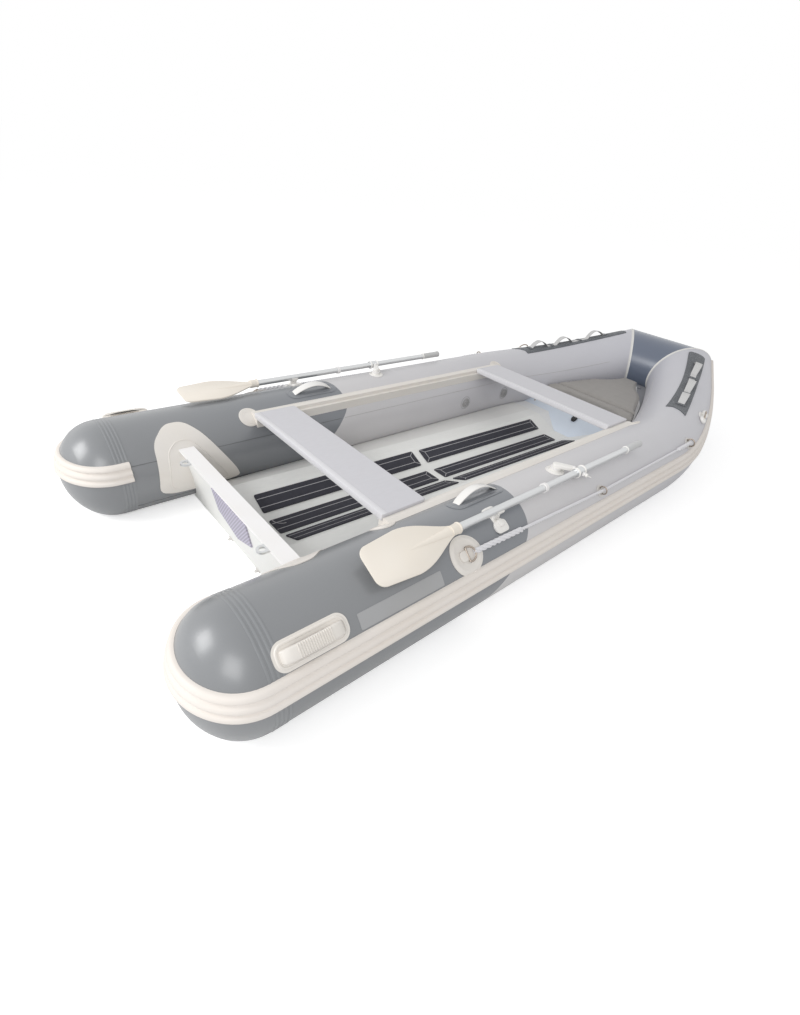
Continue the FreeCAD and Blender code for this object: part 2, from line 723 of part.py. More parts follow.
def hull_body():
    """V-bottomed aluminium hull with its side flanges, solid up to the deck."""
    foot = from_bow(LOCKER_FOOT)
    run = from_bow(STEM_INSET) - foot
    stations = [TRANSOM_X - 2 * TRANSOM_THICKNESS, from_bow(KEEL_RISE_START), TOE_X, foot]
    stations += [foot + run * share for share in BOW_STATION_SHARES]
    hull = Part.makeLoft([symmetric_ring(hull_section(x)) for x in stations], True, True)
    hull = hull.cut(half_space(transom_face(TRANSOM_THICKNESS / 2), -RAKE_NORMAL))
    return clear_of_tubes(hull, SEAT_RADIUS)


def clear_of_tubes(shape, radius):
    """A shape with the room for the side tubes and the bow tube taken out of it."""
    port = swept_tube(SEAM_X, radius)
    result = shape.cut(port).cut(mirrored(port))
    if shape.BoundBox.XMax > CORNER.x - radius:
        result = result.cut(bow_tube(radius))
    return result


def transom_face(offset):
    """Point at the top of the transom, offset forward from its middle."""
    return V(TRANSOM_X, 0, AXIS_HEIGHT + TRANSOM_TOP) + V(offset / math.cos(RAKE), 0, 0)


def deck_plate():
    """Folded deck plate: a flat-bottomed trough with a shelf along each side."""
    rings = []
    for x in (TRANSOM_X - TRANSOM_THICKNESS, from_bow(LOCKER_FOOT)):
        rings.append(symmetric_ring(deck_line(x, 0) + list(reversed(deck_line(x, DECK_THICKNESS)))))
    plate = Part.makeLoft(rings, True, True)
    return plate.cut(half_space(transom_face(TRANSOM_THICKNESS / 2), -RAKE_NORMAL))


def deck_skirt():
    """Fabric skirt that closes the gap between the deck's shelf and the port tube."""
    rings = []
    for x in (TRANSOM_X - TRANSOM_THICKNESS, TOE_X, from_bow(LOCKER_FOOT)):
        axis = tube_axis(x)
        inner = deck_line(x, 0)[-1]
        outer = V(x, axis.y - CHINE_IN, axis.z - SKIRT_DROP)
        drop = UP * DECK_THICKNESS
        rings.append(Part.makePolygon([inner, outer, outer - drop, inner - drop, inner]))
    skirt = Part.makeLoft(rings, True, True)
    skirt = skirt.cut(half_space(transom_face(TRANSOM_THICKNESS / 2), -RAKE_NORMAL))
    return skirt.cut(swept_tube(SEAM_X, SEAT_RADIUS))


def mat(x0, x1, start, width):
    """Non-slip mat on the deck, from a distance up its port slope, or across its middle."""
    slope = math.radians(TROUGH_ANGLE)
    rings = []
    for x in (x0, x1):
        if start is None:
            low = V(x, -width / 2, deck_middle(x))
            high = V(x, width / 2, deck_middle(x))
            lift = UP * MAT_THICKNESS
        else:
            along = V(0, math.cos(slope), math.sin(slope))
            low = V(x, TROUGH_HALF, deck_middle(x)) + along * start
            high = low + along * width
            lift = V(0, -math.sin(slope), math.cos(slope)) * MAT_THICKNESS
        rings.append(Part.makePolygon([low, high, high + lift, low + lift, low]))
    return Part.makeLoft(rings, True, True)


def mat_rows():
    """Ends along X of the aft and the fore row of mats."""
    start = aft(AFT_MAT_START)
    end = from_bow(LOCKER_FOOT) - FORE_MAT_END
    middle = start + (end - start - MAT_GAP) * AFT_MAT_SHARE
    return (start, middle), (middle + MAT_GAP, end)


def mat_row(x0, x1):
    """Three mats side by side, as one compound."""
    side = mat(x0, x1, MAT_SLOPE_START, MAT_WIDTH)
    return Part.makeCompound([mat(x0, x1, None, MAT_WIDTH), side, mirrored(side)])


# Transom

def transom_panel():
    """Raked transom between the tubes, its foot following the hull's V."""
    rings = []
    top = AXIS_HEIGHT + TRANSOM_TOP
    for distance in (-2 * TRANSOM_THICKNESS, 4 * TRANSOM_THICKNESS):
        x = aft(distance)
        keel, chine, flange, lip = hull_section(x)[:4]
        rings.append(symmetric_ring([keel, chine, flange, lip, V(x, lip.y, top), V(x, 0, top)]))
    panel = Part.makeLoft(rings, True, True)
    panel = panel.cut(half_space(transom_face(TRANSOM_THICKNESS / 2), RAKE_NORMAL))
    panel = panel.cut(half_space(transom_face(-TRANSOM_THICKNESS / 2), -RAKE_NORMAL))
    return clear_of_tubes(panel, patch_radius())


def patch_radius():
    """Radius about the tube's axis at which a piece seats on a glued patch."""
    return SEAT_RADIUS + PATCH_THICKNESS + SEAT_CLEARANCE


def transom_cap():
    """Flat cap along the top of the transom."""
    base = AXIS_HEIGHT + TRANSOM_TOP
    half = CAP_WIDTH / 2
    cap = box(TRANSOM_X - half, TRANSOM_X + half, -TUBE_SIDE, TUBE_SIDE, base, base + CAP_THICKNESS)
    return clear_of_tubes(cap, patch_radius())


def transom_lug():
    """Port towing lug: an ear on the cap's aft edge with a vertical hole."""
    x = TRANSOM_X - LUG_REACH - LUG_RADIUS / 2
    y = CLEAR_HALF - LUG_FROM_TUBE
    base = AXIS_HEIGHT + TRANSOM_TOP
    edge = TRANSOM_X - CAP_WIDTH / 2
    ear = Part.makeCylinder(LUG_RADIUS, LUG_THICKNESS, V(x, y, base))
    web = box(x, edge, y - LUG_RADIUS, y + LUG_RADIUS, base, base + LUG_THICKNESS)
    hole = Part.makeCylinder(LUG_HOLE_DIAMETER / 2, LUG_THICKNESS, V(x, y, base))
    forward = box(edge, edge + CAP_WIDTH, y - LUG_RADIUS, y + LUG_RADIUS, base, base + LUG_THICKNESS)
    return joined([ear, web]).cut(hole).cut(forward)


def motor_pad(side):
    """Clamp pad on the transom: side -1 is the aft face and +1 is the forward face."""
    half = PAD_WIDTH / 2
    points = [V(0, -half, 0), V(0, half, 0), V(0, half, -PAD_SIDE_HEIGHT)]
    if side < 0:
        points.append(V(0, 0, -PAD_HEIGHT))
    points.append(V(0, -half, -PAD_SIDE_HEIGHT))
    pad = prism(points, V(side * PAD_THICKNESS, 0, 0))
    pad.rotate(ORIGIN, V(0, 1, 0), -RAKE_ANGLE)
    down = V(math.sin(RAKE), 0, -math.cos(RAKE)) * PAD_DROP
    pad.translate(transom_face(side * TRANSOM_THICKNESS / 2) + down)
    return pad


def transom_drain(y):
    """Flanged drain low on the transom's aft face."""
    height = DRAIN_ABOVE_KEEL + keel_height(TRANSOM_X)
    run = (AXIS_HEIGHT + TRANSOM_TOP - height) * math.tan(RAKE)
    seat = transom_face(-TRANSOM_THICKNESS / 2)
    centre = V(seat.x + run, y, height)
    flange = rod(centre, centre - RAKE_NORMAL * DRAIN_FLANGE_THICKNESS, DRAIN_FLANGE_DIAMETER)
    spout = rod(centre, centre - RAKE_NORMAL * DRAIN_LENGTH, DRAIN_DIAMETER)
    bore = rod(centre, centre - RAKE_NORMAL * DRAIN_LENGTH, DRAIN_BORE)
    return joined([flange, spout]).cut(bore)


def transom_patch():
    """Moulded patch on the port tube's inner side, round the end of the transom."""
    punch = prism([V(aft(x), 0, AXIS_HEIGHT + z) for x, z in TRANSOM_PATCH], V(0, TUBE_SIDE, 0))
    reach = TUBE_DIAMETER
    shell = tube_shell(aft(-reach), aft(reach), SEAT_RADIUS, SEAT_RADIUS + PATCH_THICKNESS)
    return shell.common(punch)


# Thwarts and their rails

def thwart(x0):
    """Seat board across the boat, with rounded corners and a soft top edge."""
    top = AXIS_HEIGHT + THWART_TOP
    board = box(x0, x0 + THWART_WIDTH, -THWART_HALF_LENGTH, THWART_HALF_LENGTH,
                top - THWART_THICKNESS, top)
    upright = [e for e in board.Edges if abs(e.tangentAt(e.FirstParameter).z) > 0.9]
    board = board.makeFillet(THWART_CORNER_RADIUS, upright)
    rim = [e for e in board.Edges if e.BoundBox.ZMin > top - 0.1]
    return board.makeFillet(THWART_EDGE_RADIUS, rim)


def seat_rail():
    """Moulded rail on the port tube that the thwarts' ends rest on, with a patch at each end."""
    z = AXIS_HEIGHT
    seat = z + THWART_SEAT
    step = THWART_HALF_LENGTH + THWART_END_GAP
    lip = z + RAIL_TOP
    points = [V(0, RAIL_INNER, z), V(0, RAIL_INNER, seat), V(0, step, seat), V(0, step, lip),
              V(0, (step + RAIL_OUTER) / 2, lip + RAIL_CROWN), V(0, RAIL_OUTER, lip),
              V(0, RAIL_OUTER, z)]
    start = aft(AFT_THWART_START)
    end = from_bow(FORE_THWART_START) + THWART_WIDTH
    body = prism(points, V(end - start, 0, 0))
    body.translate(V(start, 0, 0))
    pieces = [body.cut(straight_tube(start, end, SEAT_RADIUS))]
    for x in (start - RAIL_END_OVERHANG, end + RAIL_END_OVERHANG):
        patch = round_patch(x, RAIL_END_ANGLE, RAIL_END_RADIUS, PATCH_THICKNESS)
        pieces.append(largest(patch.cut(body)))
    return Part.makeCompound(pieces)


# Bow locker, lid and cushion

def lid_height(x):
    """Height of the lid's top at X."""
    share = (x - from_bow(LOCKER_HEAD)) / (hinge_x() - from_bow(LOCKER_HEAD))
    return AXIS_HEIGHT + LID_AFT_HEIGHT + (LID_FORE_HEIGHT - LID_AFT_HEIGHT) * share


def hinge_x():
    """Place of the lid's hinge along X."""
    return CORNER.x - TUBE_RADIUS - LID_HINGE_GAP


def taper(share):
    """How much of the lid's extra room there is at a share of its length."""
    grown = (share - LID_TAPER_START) / (LID_TAPER_END - LID_TAPER_START)
    grown = min(max(grown, 0.0), 1.0)
    return grown * grown * (3 - 2 * grown)


def between_tubes(gap, x0, x1, extra):
    """Plan face between the tubes, with a gap to their sides, from one X to another.

    The extra room is added toward the lid's hinge.
    """
    points = []
    length = hinge_x() - from_bow(LOCKER_HEAD)
    for index in range(PLAN_POINTS + 1):
        x = x0 + (x1 - x0) * index / PLAN_POINTS
        room = gap + extra * taper((x - from_bow(LOCKER_HEAD)) / length)
        points.append(V(x, inner_side(x, room), 0))
    spline = Part.BSplineCurve()
    spline.interpolate(points)
    side = spline.toShape()
    other = spline.toShape().mirror(ORIGIN, V(0, 1, 0))
    first, last = points[0], points[-1]
    return Part.Face(Part.Wire([side, Part.makeLine(last, V(last.x, -last.y, 0)), other,
                                Part.makeLine(V(first.x, -first.y, 0), first)]))


def inner_side(x, gap):
    """Half of the width between the tubes at X, less a gap measured square to them."""
    low, high = x, x + TUBE_DIAMETER
    for _ in range(40):
        middle = (low + high) / 2
        tangent = tube_axis(middle + 1) - tube_axis(middle - 1)
        inward = V(tangent.y, -tangent.x, 0).normalize()
        edge = tube_axis(middle) + inward * (TUBE_RADIUS + gap)
        if edge.x < x:
            low = middle
        else:
            high = middle
    return edge.y


def sloped_slab(x0, x1, low, high):
    """Slab parallel to the lid, between two heights measured from the lid's top."""
    points = [V(x0, 0, lid_height(x0) + low), V(x1, 0, lid_height(x1) + low),
              V(x1, 0, lid_height(x1) + high), V(x0, 0, lid_height(x0) + high)]
    slab = prism(points, V(0, 2 * TUBE_SIDE, 0))
    slab.translate(V(0, -TUBE_SIDE, 0))
    return slab


def column_over(plan):
    """Tall solid over a plan face."""
    column = plan.extrude(UP * 2 * TUBE_DIAMETER)
    column.translate(V(0, 0, AXIS_HEIGHT - TUBE_DIAMETER))
    return column


def locker_rim():
    """Frame under the lid that follows the tubes, with the hinge's fixed knuckles."""
    x0 = from_bow(LOCKER_HEAD)
    x1 = CORNER.x
    low = -LID_THICKNESS - PANEL_THICKNESS
    slab = sloped_slab(x0, x1, low, -LID_THICKNESS)
    opening = between_tubes(RUN_CLEARANCE + RIM_WIDTH, x0 + RIM_WIDTH, hinge_x() - RIM_WIDTH, LID_TAPER)
    frame = largest(clear_of_tubes(slab, SEAT_RADIUS)).cut(column_over(opening))
    centre = hinge_point()
    barrel = HINGE_BARREL_DIAMETER / 2
    half = hinge_length() / 2
    knuckle_length = hinge_length() / 3 - HINGE_PLAY
    pieces = [frame]
    for y in (-half, half - knuckle_length):
        start = V(centre.x, y, centre.z)
        pieces.append(rod(start, start + V(0, knuckle_length, 0), HINGE_BARREL_DIAMETER))
        pieces.append(box(centre.x, centre.x + 2 * barrel, y, y + knuckle_length,
                          centre.z - barrel - HINGE_LEAF / 2, centre.z + barrel))
    end = V(0, half, 0)
    pieces.append(rod(centre - end, centre + end, HINGE_PIN_DIAMETER))
    return joined(pieces)


def hinge_length():
    """Length of the lid's hinge, between the tubes."""
    return 2 * (inner_side(hinge_x(), 0) - HINGE_END_GAP)


def hinge_point():
    """Middle of the lid's hinge axis."""
    x = hinge_x()
    return V(x, 0, lid_height(x) - LID_THICKNESS + HINGE_BARREL_DIAMETER / 2 + HINGE_PLAY)


def locker_lid():
    """Lid over the bow locker, with its hinge knuckle at the fore edge."""
    centre = hinge_point()
    x0 = from_bow(LOCKER_HEAD)
    x1 = centre.x - HINGE_BARREL_DIAMETER / 2 - 2 * HINGE_PLAY
    plan = between_tubes(RUN_CLEARANCE, x0, x1, LID_TAPER)
    lid = sloped_slab(x0, x1, -LID_THICKNESS, 0).common(column_over(plan))
    half = V(0, hinge_length() / 6 - HINGE_PLAY, 0)
    start, end = centre - half, centre + half
    knuckle = rod(start, end, HINGE_BARREL_DIAMETER)
    leaf = box(x1 - HINGE_PLAY, centre.x, start.y, end.y,
               centre.z - HINGE_LEAF / 2, centre.z + HINGE_LEAF / 2)
    bore = rod(start, end, HINGE_PIN_DIAMETER + 2 * PIN_CLEARANCE)
    return joined([lid, knuckle, leaf]).cut(bore)


def bow_cushion():
    """Seat cushion on the lid, rounded along its aft edge."""
    x0 = from_bow(LOCKER_HEAD) + CUSHION_INSET
    x1 = hinge_x() - 2 * CUSHION_INSET
    plan = between_tubes(RUN_CLEARANCE + CUSHION_INSET / 2, x0, x1, LID_TAPER)
    pad = sloped_slab(x0, x1, 0, CUSHION_THICKNESS).common(column_over(plan))
    ends = [e for e in pad.Edges if abs(e.tangentAt(e.FirstParameter).y) > 0.99
            and e.BoundBox.ZMin > lid_height(e.BoundBox.XMin) + 1]
    return pad.makeFillet(CUSHION_THICKNESS * 0.4, ends)


def locker_front(hull, deck):
    """Sloping front panel of the locker, from the deck up to the lid."""
    x0 = from_bow(LOCKER_FOOT)
    x1 = from_bow(LOCKER_HEAD)
    top = lid_height(x1) - LID_THICKNESS
    foot = deck_middle(x0) - DECK_THICKNESS
    points = [V(x0, 0, foot), V(x1, 0, top), V(x1 + 2 * PANEL_THICKNESS, 0, top),
              V(x1 + 2 * PANEL_THICKNESS, 0, top - PANEL_THICKNESS),
              V(x0 + 2 * PANEL_THICKNESS, 0, foot)]
    panel = prism(points, V(0, 2 * TUBE_SIDE, 0))
    panel.translate(V(0, -TUBE_SIDE, 0))
    panel = clear_of_tubes(panel, SEAT_RADIUS).cut(hull).cut(deck)
    rim = sloped_slab(x1, hinge_x(), -LID_THICKNESS - PANEL_THICKNESS, 0)
    return largest(panel.cut(rim))


def locker_latch():
    """Strap latch on the locker's front panel."""
    x0 = from_bow(LOCKER_FOOT)
    x1 = from_bow(LOCKER_HEAD)
    top = lid_height(x1) - LID_THICKNESS
    foot = deck_middle(x0) - DECK_THICKNESS
    along = V(x1 - x0, 0, top - foot).normalize()
    out = V(-along.z, 0, along.x)
    head = V(x1, 0, top) - along * LATCH_BELOW_LID
    tail = head - along * LATCH_LENGTH
    points = [head, tail, tail + out * LATCH_THICKNESS, head + out * LATCH_THICKNESS]
    strap = prism([p + V(0, -LATCH_WIDTH / 2, 0) for p in points], V(0, LATCH_WIDTH, 0))
    return strap


# Fittings on the tubes

def arch(length, height, width, thickness):
    """Band bent up into an arch along X, with feet that reach below the surface."""
    half = length / 2
    depth = ARCH_FOOT
    outer = Part.Arc(V(-half, 0, 0), V(0, 0, height), V(half, 0, 0)).toShape()
    t = thickness
    inner = Part.Arc(V(half - 2 * t, 0, 0), V(0, 0, height - t), V(2 * t - half, 0, 0)).toShape()
    edges = [outer, Part.makeLine(V(half, 0, 0), V(half, 0, -depth)),
             Part.makeLine(V(half, 0, -depth), V(half - 2 * t, 0, -depth)),
             Part.makeLine(V(half - 2 * t, 0, -depth), V(half - 2 * t, 0, 0)), inner,
             Part.makeLine(V(2 * t - half, 0, 0), V(2 * t - half, 0, -depth)),
             Part.makeLine(V(2 * t - half, 0, -depth), V(-half, 0, -depth)),
             Part.makeLine(V(-half, 0, -depth), V(-half, 0, 0))]
    band = Part.Face(Part.Wire(edges)).extrude(V(0, width, 0))
    band.translate(V(0, -width / 2, 0))
    return band


def rounded_plate(length, width, radius, height):
    """Plate about the origin with rounded corners, for punching patches."""
    plate = Part.makeBox(length, width, height, V(-length / 2, -width / 2, -height / 2))
    upright = [e for e in plate.Edges if abs(e.tangentAt(e.FirstParameter).z) > 0.9]
    return plate.makeFillet(radius, upright)


def carry_handle():
    """Webbing carry handle on its patch, on the port tube's crown."""
    middle = aft((CARRY_START + CARRY_END) / 2)
    length = CARRY_END - CARRY_START
    band = arch(length, CARRY_HEIGHT, WEBBING_WIDTH, WEBBING_THICKNESS)
    patch = length + 2 * CARRY_PATCH_MARGIN
    return handle_on_patch(band, middle, CARRY_ANGLE, patch, CARRY_PATCH_WIDTH)


def handle_on_patch(band, x, angle, length, width):
    """A band standing on a rounded patch that follows the straight port tube."""
    x0 = x - length
    x1 = x + length
    plate = rounded_plate(length, width, HANDLE_PATCH_RADIUS, TUBE_RADIUS)
    punch = on_tube(plate, x, angle, TUBE_RADIUS)
    shell = tube_shell(x0, x1, SEAT_RADIUS, SEAT_RADIUS + PATCH_THICKNESS)
    patch = shell.common(punch)
    standing = on_tube(band, x, angle, SEAT_RADIUS + PATCH_THICKNESS)
    standing = standing.cut(straight_tube(x0, x1, SEAT_RADIUS))
    return joined([patch, standing])


def stern_handle():
    """Moulded grab handle on the port tube's outer quarter, near the stern."""
    middle = aft((STERN_GRIP_START + STERN_GRIP_END) / 2)
    length = STERN_GRIP_END - STERN_GRIP_START
    span = length - 2 * STERN_GRIP_MARGIN
    return handle_on_patch(moulded_grip(span), middle, STERN_GRIP_ANGLE, length, STERN_PATCH_WIDTH)


def moulded_grip(span):
    """Straight grip on two bulky feet, with the finger room under it."""
    half = span / 2
    top = STERN_GRIP_HEIGHT
    ceiling = top - STERN_GRIP_THICKNESS
    room = half - STERN_GRIP_FOOT
    heel = top * STERN_GRIP_SHOULDER_SHARE
    port_half = [(half, -ARCH_FOOT), (half, heel / 2), (half - heel / 4, heel), (half - heel, top),
                 (-half + heel, top), (-half + heel / 4, heel), (-half, heel / 2), (-half, -ARCH_FOOT),
                 (-room, -ARCH_FOOT), (-room, ceiling / 2), (-room + ceiling / 2, ceiling),
                 (room - ceiling / 2, ceiling), (room, ceiling / 2), (room, -ARCH_FOOT)]
    points = [V(x, -STERN_GRIP_WIDTH / 2, z) for x, z in port_half]
    grip = prism(points, V(0, STERN_GRIP_WIDTH, 0))
    rims = [e for e in grip.Edges if e.BoundBox.YLength < 1e-6 and e.BoundBox.ZMin > ceiling + 1e-6]
    return grip.makeFillet(STERN_GRIP_EDGE_RADIUS, rims)


def line_eye(x, angle, radius):
    """Lifeline eye: a round patch with a wire ring standing on it."""
    ring = arch(2 * EYE_RING_RADIUS, EYE_RING_HEIGHT, EYE_WIRE_DIAMETER, EYE_WIRE_DIAMETER)
    boss = Part.makeCylinder(EYE_RING_RADIUS + EYE_WIRE_DIAMETER, EYE_BOSS_HEIGHT + EYE_BOSS_SUNK,
                             V(0, 0, -EYE_BOSS_SUNK))
    ring.translate(V(0, 0, EYE_BOSS_HEIGHT))
    standing = on_tube(joined([boss, ring]), x, angle, SEAT_RADIUS + PATCH_THICKNESS)
    return joined([round_patch(x, angle, radius, PATCH_THICKNESS), standing])


def line_eyes():
    """The port side's eyes, aft to fore."""
    return [line_eye(aft(AFT_EYE), AFT_EYE_ANGLE, EYE_PATCH_RADIUS),
            line_eye(aft(MIDDLE_EYE), MIDDLE_EYE_ANGLE, SMALL_EYE_PATCH_RADIUS),
            line_eye(from_bow(FORE_EYE), FORE_EYE_ANGLE, SMALL_EYE_PATCH_RADIUS),
            line_eye(from_bow(SHOULDER_EYE), SHOULDER_EYE_ANGLE, SHOULDER_PATCH_RADIUS)]


def valve(x):
    """Inflation valve on the inner side of the port tube."""
    radius = VALVE_DIAMETER / 2
    flange = Part.makeCylinder(radius, VALVE_SUNK + VALVE_FLANGE, V(0, 0, -VALVE_SUNK))
    cap = Part.makeCylinder(VALVE_CAP_DIAMETER / 2, VALVE_HEIGHT)
    body = on_tube(joined([flange, cap]), from_bow(x), 180, SEAT_RADIUS)
    return body.cut(swept_tube(from_bow(AFT_VALVE) - 2 * VALVE_DIAMETER, SEAT_RADIUS))


def bow_patch():
    """Long dark patch along the crown of the port bow tube."""
    centre = V(TOE_X - TUBE_RADIUS, TUBE_SIDE, AXIS_HEIGHT)
    inner = SEAT_RADIUS
    outer = SEAT_RADIUS + PATCH_THICKNESS
    low = math.radians(90 - BOW_PATCH_SPREAD / 2)
    high = math.radians(90 + BOW_PATCH_SPREAD / 2)

    def at(radius, angle):
        return centre + V(0, math.cos(angle), math.sin(angle)) * radius
    middle = math.pi / 2
    wire = Part.Wire([Part.Arc(at(inner, low), at(inner, middle), at(inner, high)).toShape(),
                      Part.makeLine(at(inner, high), at(outer, high)),
                      Part.Arc(at(outer, high), at(outer, middle), at(outer, low)).toShape(),
                      Part.makeLine(at(outer, low), at(inner, low))])
    band = along_tube(Part.Face(wire), centre.x)
    slant = math.radians(BOW_PATCH_SLANT)
    start = tube_axis(from_bow(BOW_PATCH_AFT))
    end = tube_axis(from_bow(BOW_PATCH_FORE))
    band = band.cut(half_space(start, V(-math.cos(slant), -math.sin(slant), 0)))
    return band.cut(half_space(end, HEADINGS[2]))


def bow_loop(x):
    """Webbing loop standing on the bow patch."""
    band = arch(BOW_LOOP_LENGTH, BOW_LOOP_HEIGHT, WEBBING_WIDTH, WEBBING_THICKNESS)
    standing = on_tube(band, from_bow(x), 90, patch_radius())
    return standing.cut(swept_tube(TOE_X - BOW_LOOP_LENGTH, patch_radius()))


# Rowlocks and oars

def crown(x):
    """Point on the crown of the port tube."""
    return V(x, TUBE_SIDE, AXIS_HEIGHT + SEAT_RADIUS)


def rowlock_base():
    """Round base with a boss that the rowlock turns in."""
    x = aft(ROWLOCK_FROM_TRANSOM)
    patch = round_patch(x, 90, ROWLOCK_BASE_DIAMETER / 2, PATCH_THICKNESS)
    top = crown(x) + UP * (PATCH_THICKNESS + ROWLOCK_BOSS_HEIGHT)
    boss = rod(crown(x) - UP * ROWLOCK_BOSS_SUNK, top, ROWLOCK_BOSS_DIAMETER)
    boss = boss.cut(straight_tube(x - ROWLOCK_BASE_DIAMETER, x + ROWLOCK_BASE_DIAMETER, SEAT_RADIUS))
    bore = rod(top - UP * SPIGOT_LENGTH, top, SPIGOT_DIAMETER + 2 * PIN_CLEARANCE)
    return joined([patch, boss]).cut(bore)


def pivot():
    """Middle of the port oar's cross pin."""
    return V(aft(PIVOT_FROM_TRANSOM), OAR_SIDE, AXIS_HEIGHT + OAR_HEIGHT)


def rowlock_body():
    """Swivelling rowlock: a column with an arm that carries the oar's cross pin."""
    x = aft(ROWLOCK_FROM_TRANSOM)
    foot = crown(x) + UP * (PATCH_THICKNESS + ROWLOCK_BOSS_HEIGHT + PIN_CLEARANCE)
    centre = pivot()
    head = V(x, TUBE_SIDE, centre.z + ARM_HEIGHT / 2)
    disc = rod(foot, foot + UP * ROWLOCK_DISC_THICKNESS, ROWLOCK_BOSS_DIAMETER)
    spigot = rod(foot - UP * (SPIGOT_LENGTH - CHEEK_GAP), foot, SPIGOT_DIAMETER)
    column = rod(foot, head, ROWLOCK_COLUMN_DIAMETER)
    cheek = centre.y - OAR_COLLAR_DIAMETER / 2 - CHEEK_GAP
    elbow = V(centre.x, cheek - ARM_WIDTH / 2, centre.z)
    run = V(elbow.x - x, elbow.y - TUBE_SIDE, 0)
    arm = Part.makeBox(run.Length, ARM_WIDTH, ARM_HEIGHT, V(0, -ARM_WIDTH / 2, -ARM_HEIGHT / 2))
    arm.rotate(ORIGIN, UP, math.degrees(math.atan2(run.y, run.x)))
    arm.translate(V(x, TUBE_SIDE, centre.z))
    eye = rod(V(centre.x, cheek - ARM_WIDTH, centre.z), V(centre.x, cheek, centre.z), CHEEK_DIAMETER)
    far = centre.y + OAR_COLLAR_DIAMETER / 2 + CHEEK_GAP
    pin = rod(V(centre.x, cheek - CHEEK_GAP, centre.z), V(centre.x, far + NUT_LENGTH, centre.z),
              PIN_DIAMETER)
    nut = rod(V(centre.x, far, centre.z), V(centre.x, far + NUT_LENGTH, centre.z), NUT_DIAMETER)
    wing = box(centre.x - NUT_WING, centre.x + NUT_WING, far + NUT_LENGTH / 3, far + NUT_LENGTH,
               centre.z - NUT_WING_THICKNESS / 2, centre.z + NUT_WING_THICKNESS / 2)
    return joined([disc, spigot, column, arm, eye, pin, nut, wing])


def oar_point(x, side=0.0, lift=0.0):
    """Point beside the port oar's line, given forward of the transom."""
    return V(aft(x), OAR_SIDE + side, AXIS_HEIGHT + OAR_HEIGHT + lift)


def oar_shaft():
    """Aluminium shaft with the collar that the cross pin goes through."""
    shaft = rod(oar_point(OAR_BLADE_JOINT), oar_point(OAR_GRIP_START), OAR_SHAFT_DIAMETER)
    half = OAR_COLLAR_LENGTH / 2
    collar = rod(oar_point(PIVOT_FROM_TRANSOM - half), oar_point(PIVOT_FROM_TRANSOM + half),
                 OAR_COLLAR_DIAMETER)
    reach = V(0, OAR_COLLAR_DIAMETER, 0)
    bore = rod(pivot() - reach, pivot() + reach, PIN_DIAMETER + 2 * PIN_CLEARANCE)
    return joined([shaft, collar]).cut(bore)


def oar_stop():
    """White ring on the oar's shaft, aft of the rowlock."""
    x0 = OAR_STOP - OAR_STOP_LENGTH / 2
    x1 = OAR_STOP + OAR_STOP_LENGTH / 2
    ring = rod(oar_point(x0), oar_point(x1), OAR_COLLAR_DIAMETER)
    return ring.cut(rod(oar_point(x0), oar_point(x1), OAR_SHAFT_DIAMETER + 2 * SEAT_CLEARANCE))


def oar_grip():
    """Moulded grip on the oar's inner end."""
    end = OAR_GRIP_END - GRIP_KNOB_LENGTH
    grip = rod(oar_point(OAR_GRIP_START), oar_point(end), OAR_GRIP_DIAMETER)
    knob = rod(oar_point(end), oar_point(OAR_GRIP_END), GRIP_KNOB_DIAMETER)
    rim = [e for e in knob.Edges if e.Length > GRIP_KNOB_DIAMETER and e.BoundBox.XMin > aft(end) + 1]
    return joined([grip, knob.makeChamfer(GRIP_CHAMFER, rim)])


def oar_blade():
    """Moulded blade with its ferrule and a rib that runs out along the middle."""
    half = BLADE_WIDTH / 2
    neck = OAR_COLLAR_DIAMETER / 2
    shoulder = V(-BLADE_SHOULDER, half, 0)
    corner = V(-BLADE_LENGTH, half * BLADE_TIP_SHARE, 0)
    root = V(0, neck, 0)
    side = Part.BezierCurve()
    side.setPoles([root, V(-BLADE_SHOULDER / 3, neck, 0), V(-BLADE_SHOULDER * 2 / 3, half, 0), shoulder])
    wires = [side.toShape(), Part.makeLine(shoulder, corner)]
    wires += [wire.mirror(ORIGIN, V(0, 1, 0)) for wire in wires]
    wires.append(Part.makeLine(corner, V(corner.x, -corner.y, 0)))
    wires.append(Part.makeLine(root, V(root.x, -root.y, 0)))
    plate = Part.Face(Part.Wire(Part.__sortEdges__(wires))).extrude(UP * BLADE_THICKNESS)
    tips = [e for e in plate.Edges if e.BoundBox.XMax < -BLADE_LENGTH + 1 and e.BoundBox.YLength < 1]
    plate = plate.makeFillet(BLADE_CORNER_RADIUS, tips)
    plate.translate(V(0, 0, -BLADE_THICKNESS / 2))
    rib = Part.makeCone(neck, BLADE_THICKNESS / 2, BLADE_RIB_LENGTH, ORIGIN, V(-1, 0, 0))
    sleeve = rod(ORIGIN, V(FERRULE_LENGTH, 0, 0), OAR_COLLAR_DIAMETER)
    bore = rod(ORIGIN, V(FERRULE_LENGTH, 0, 0), OAR_SHAFT_DIAMETER + 2 * SEAT_CLEARANCE)
    blade = joined([plate, rib, sleeve]).cut(bore)
    blade.rotate(ORIGIN, V(1, 0, 0), -BLADE_TILT)
    blade.translate(oar_point(OAR_BLADE_JOINT))
    return blade


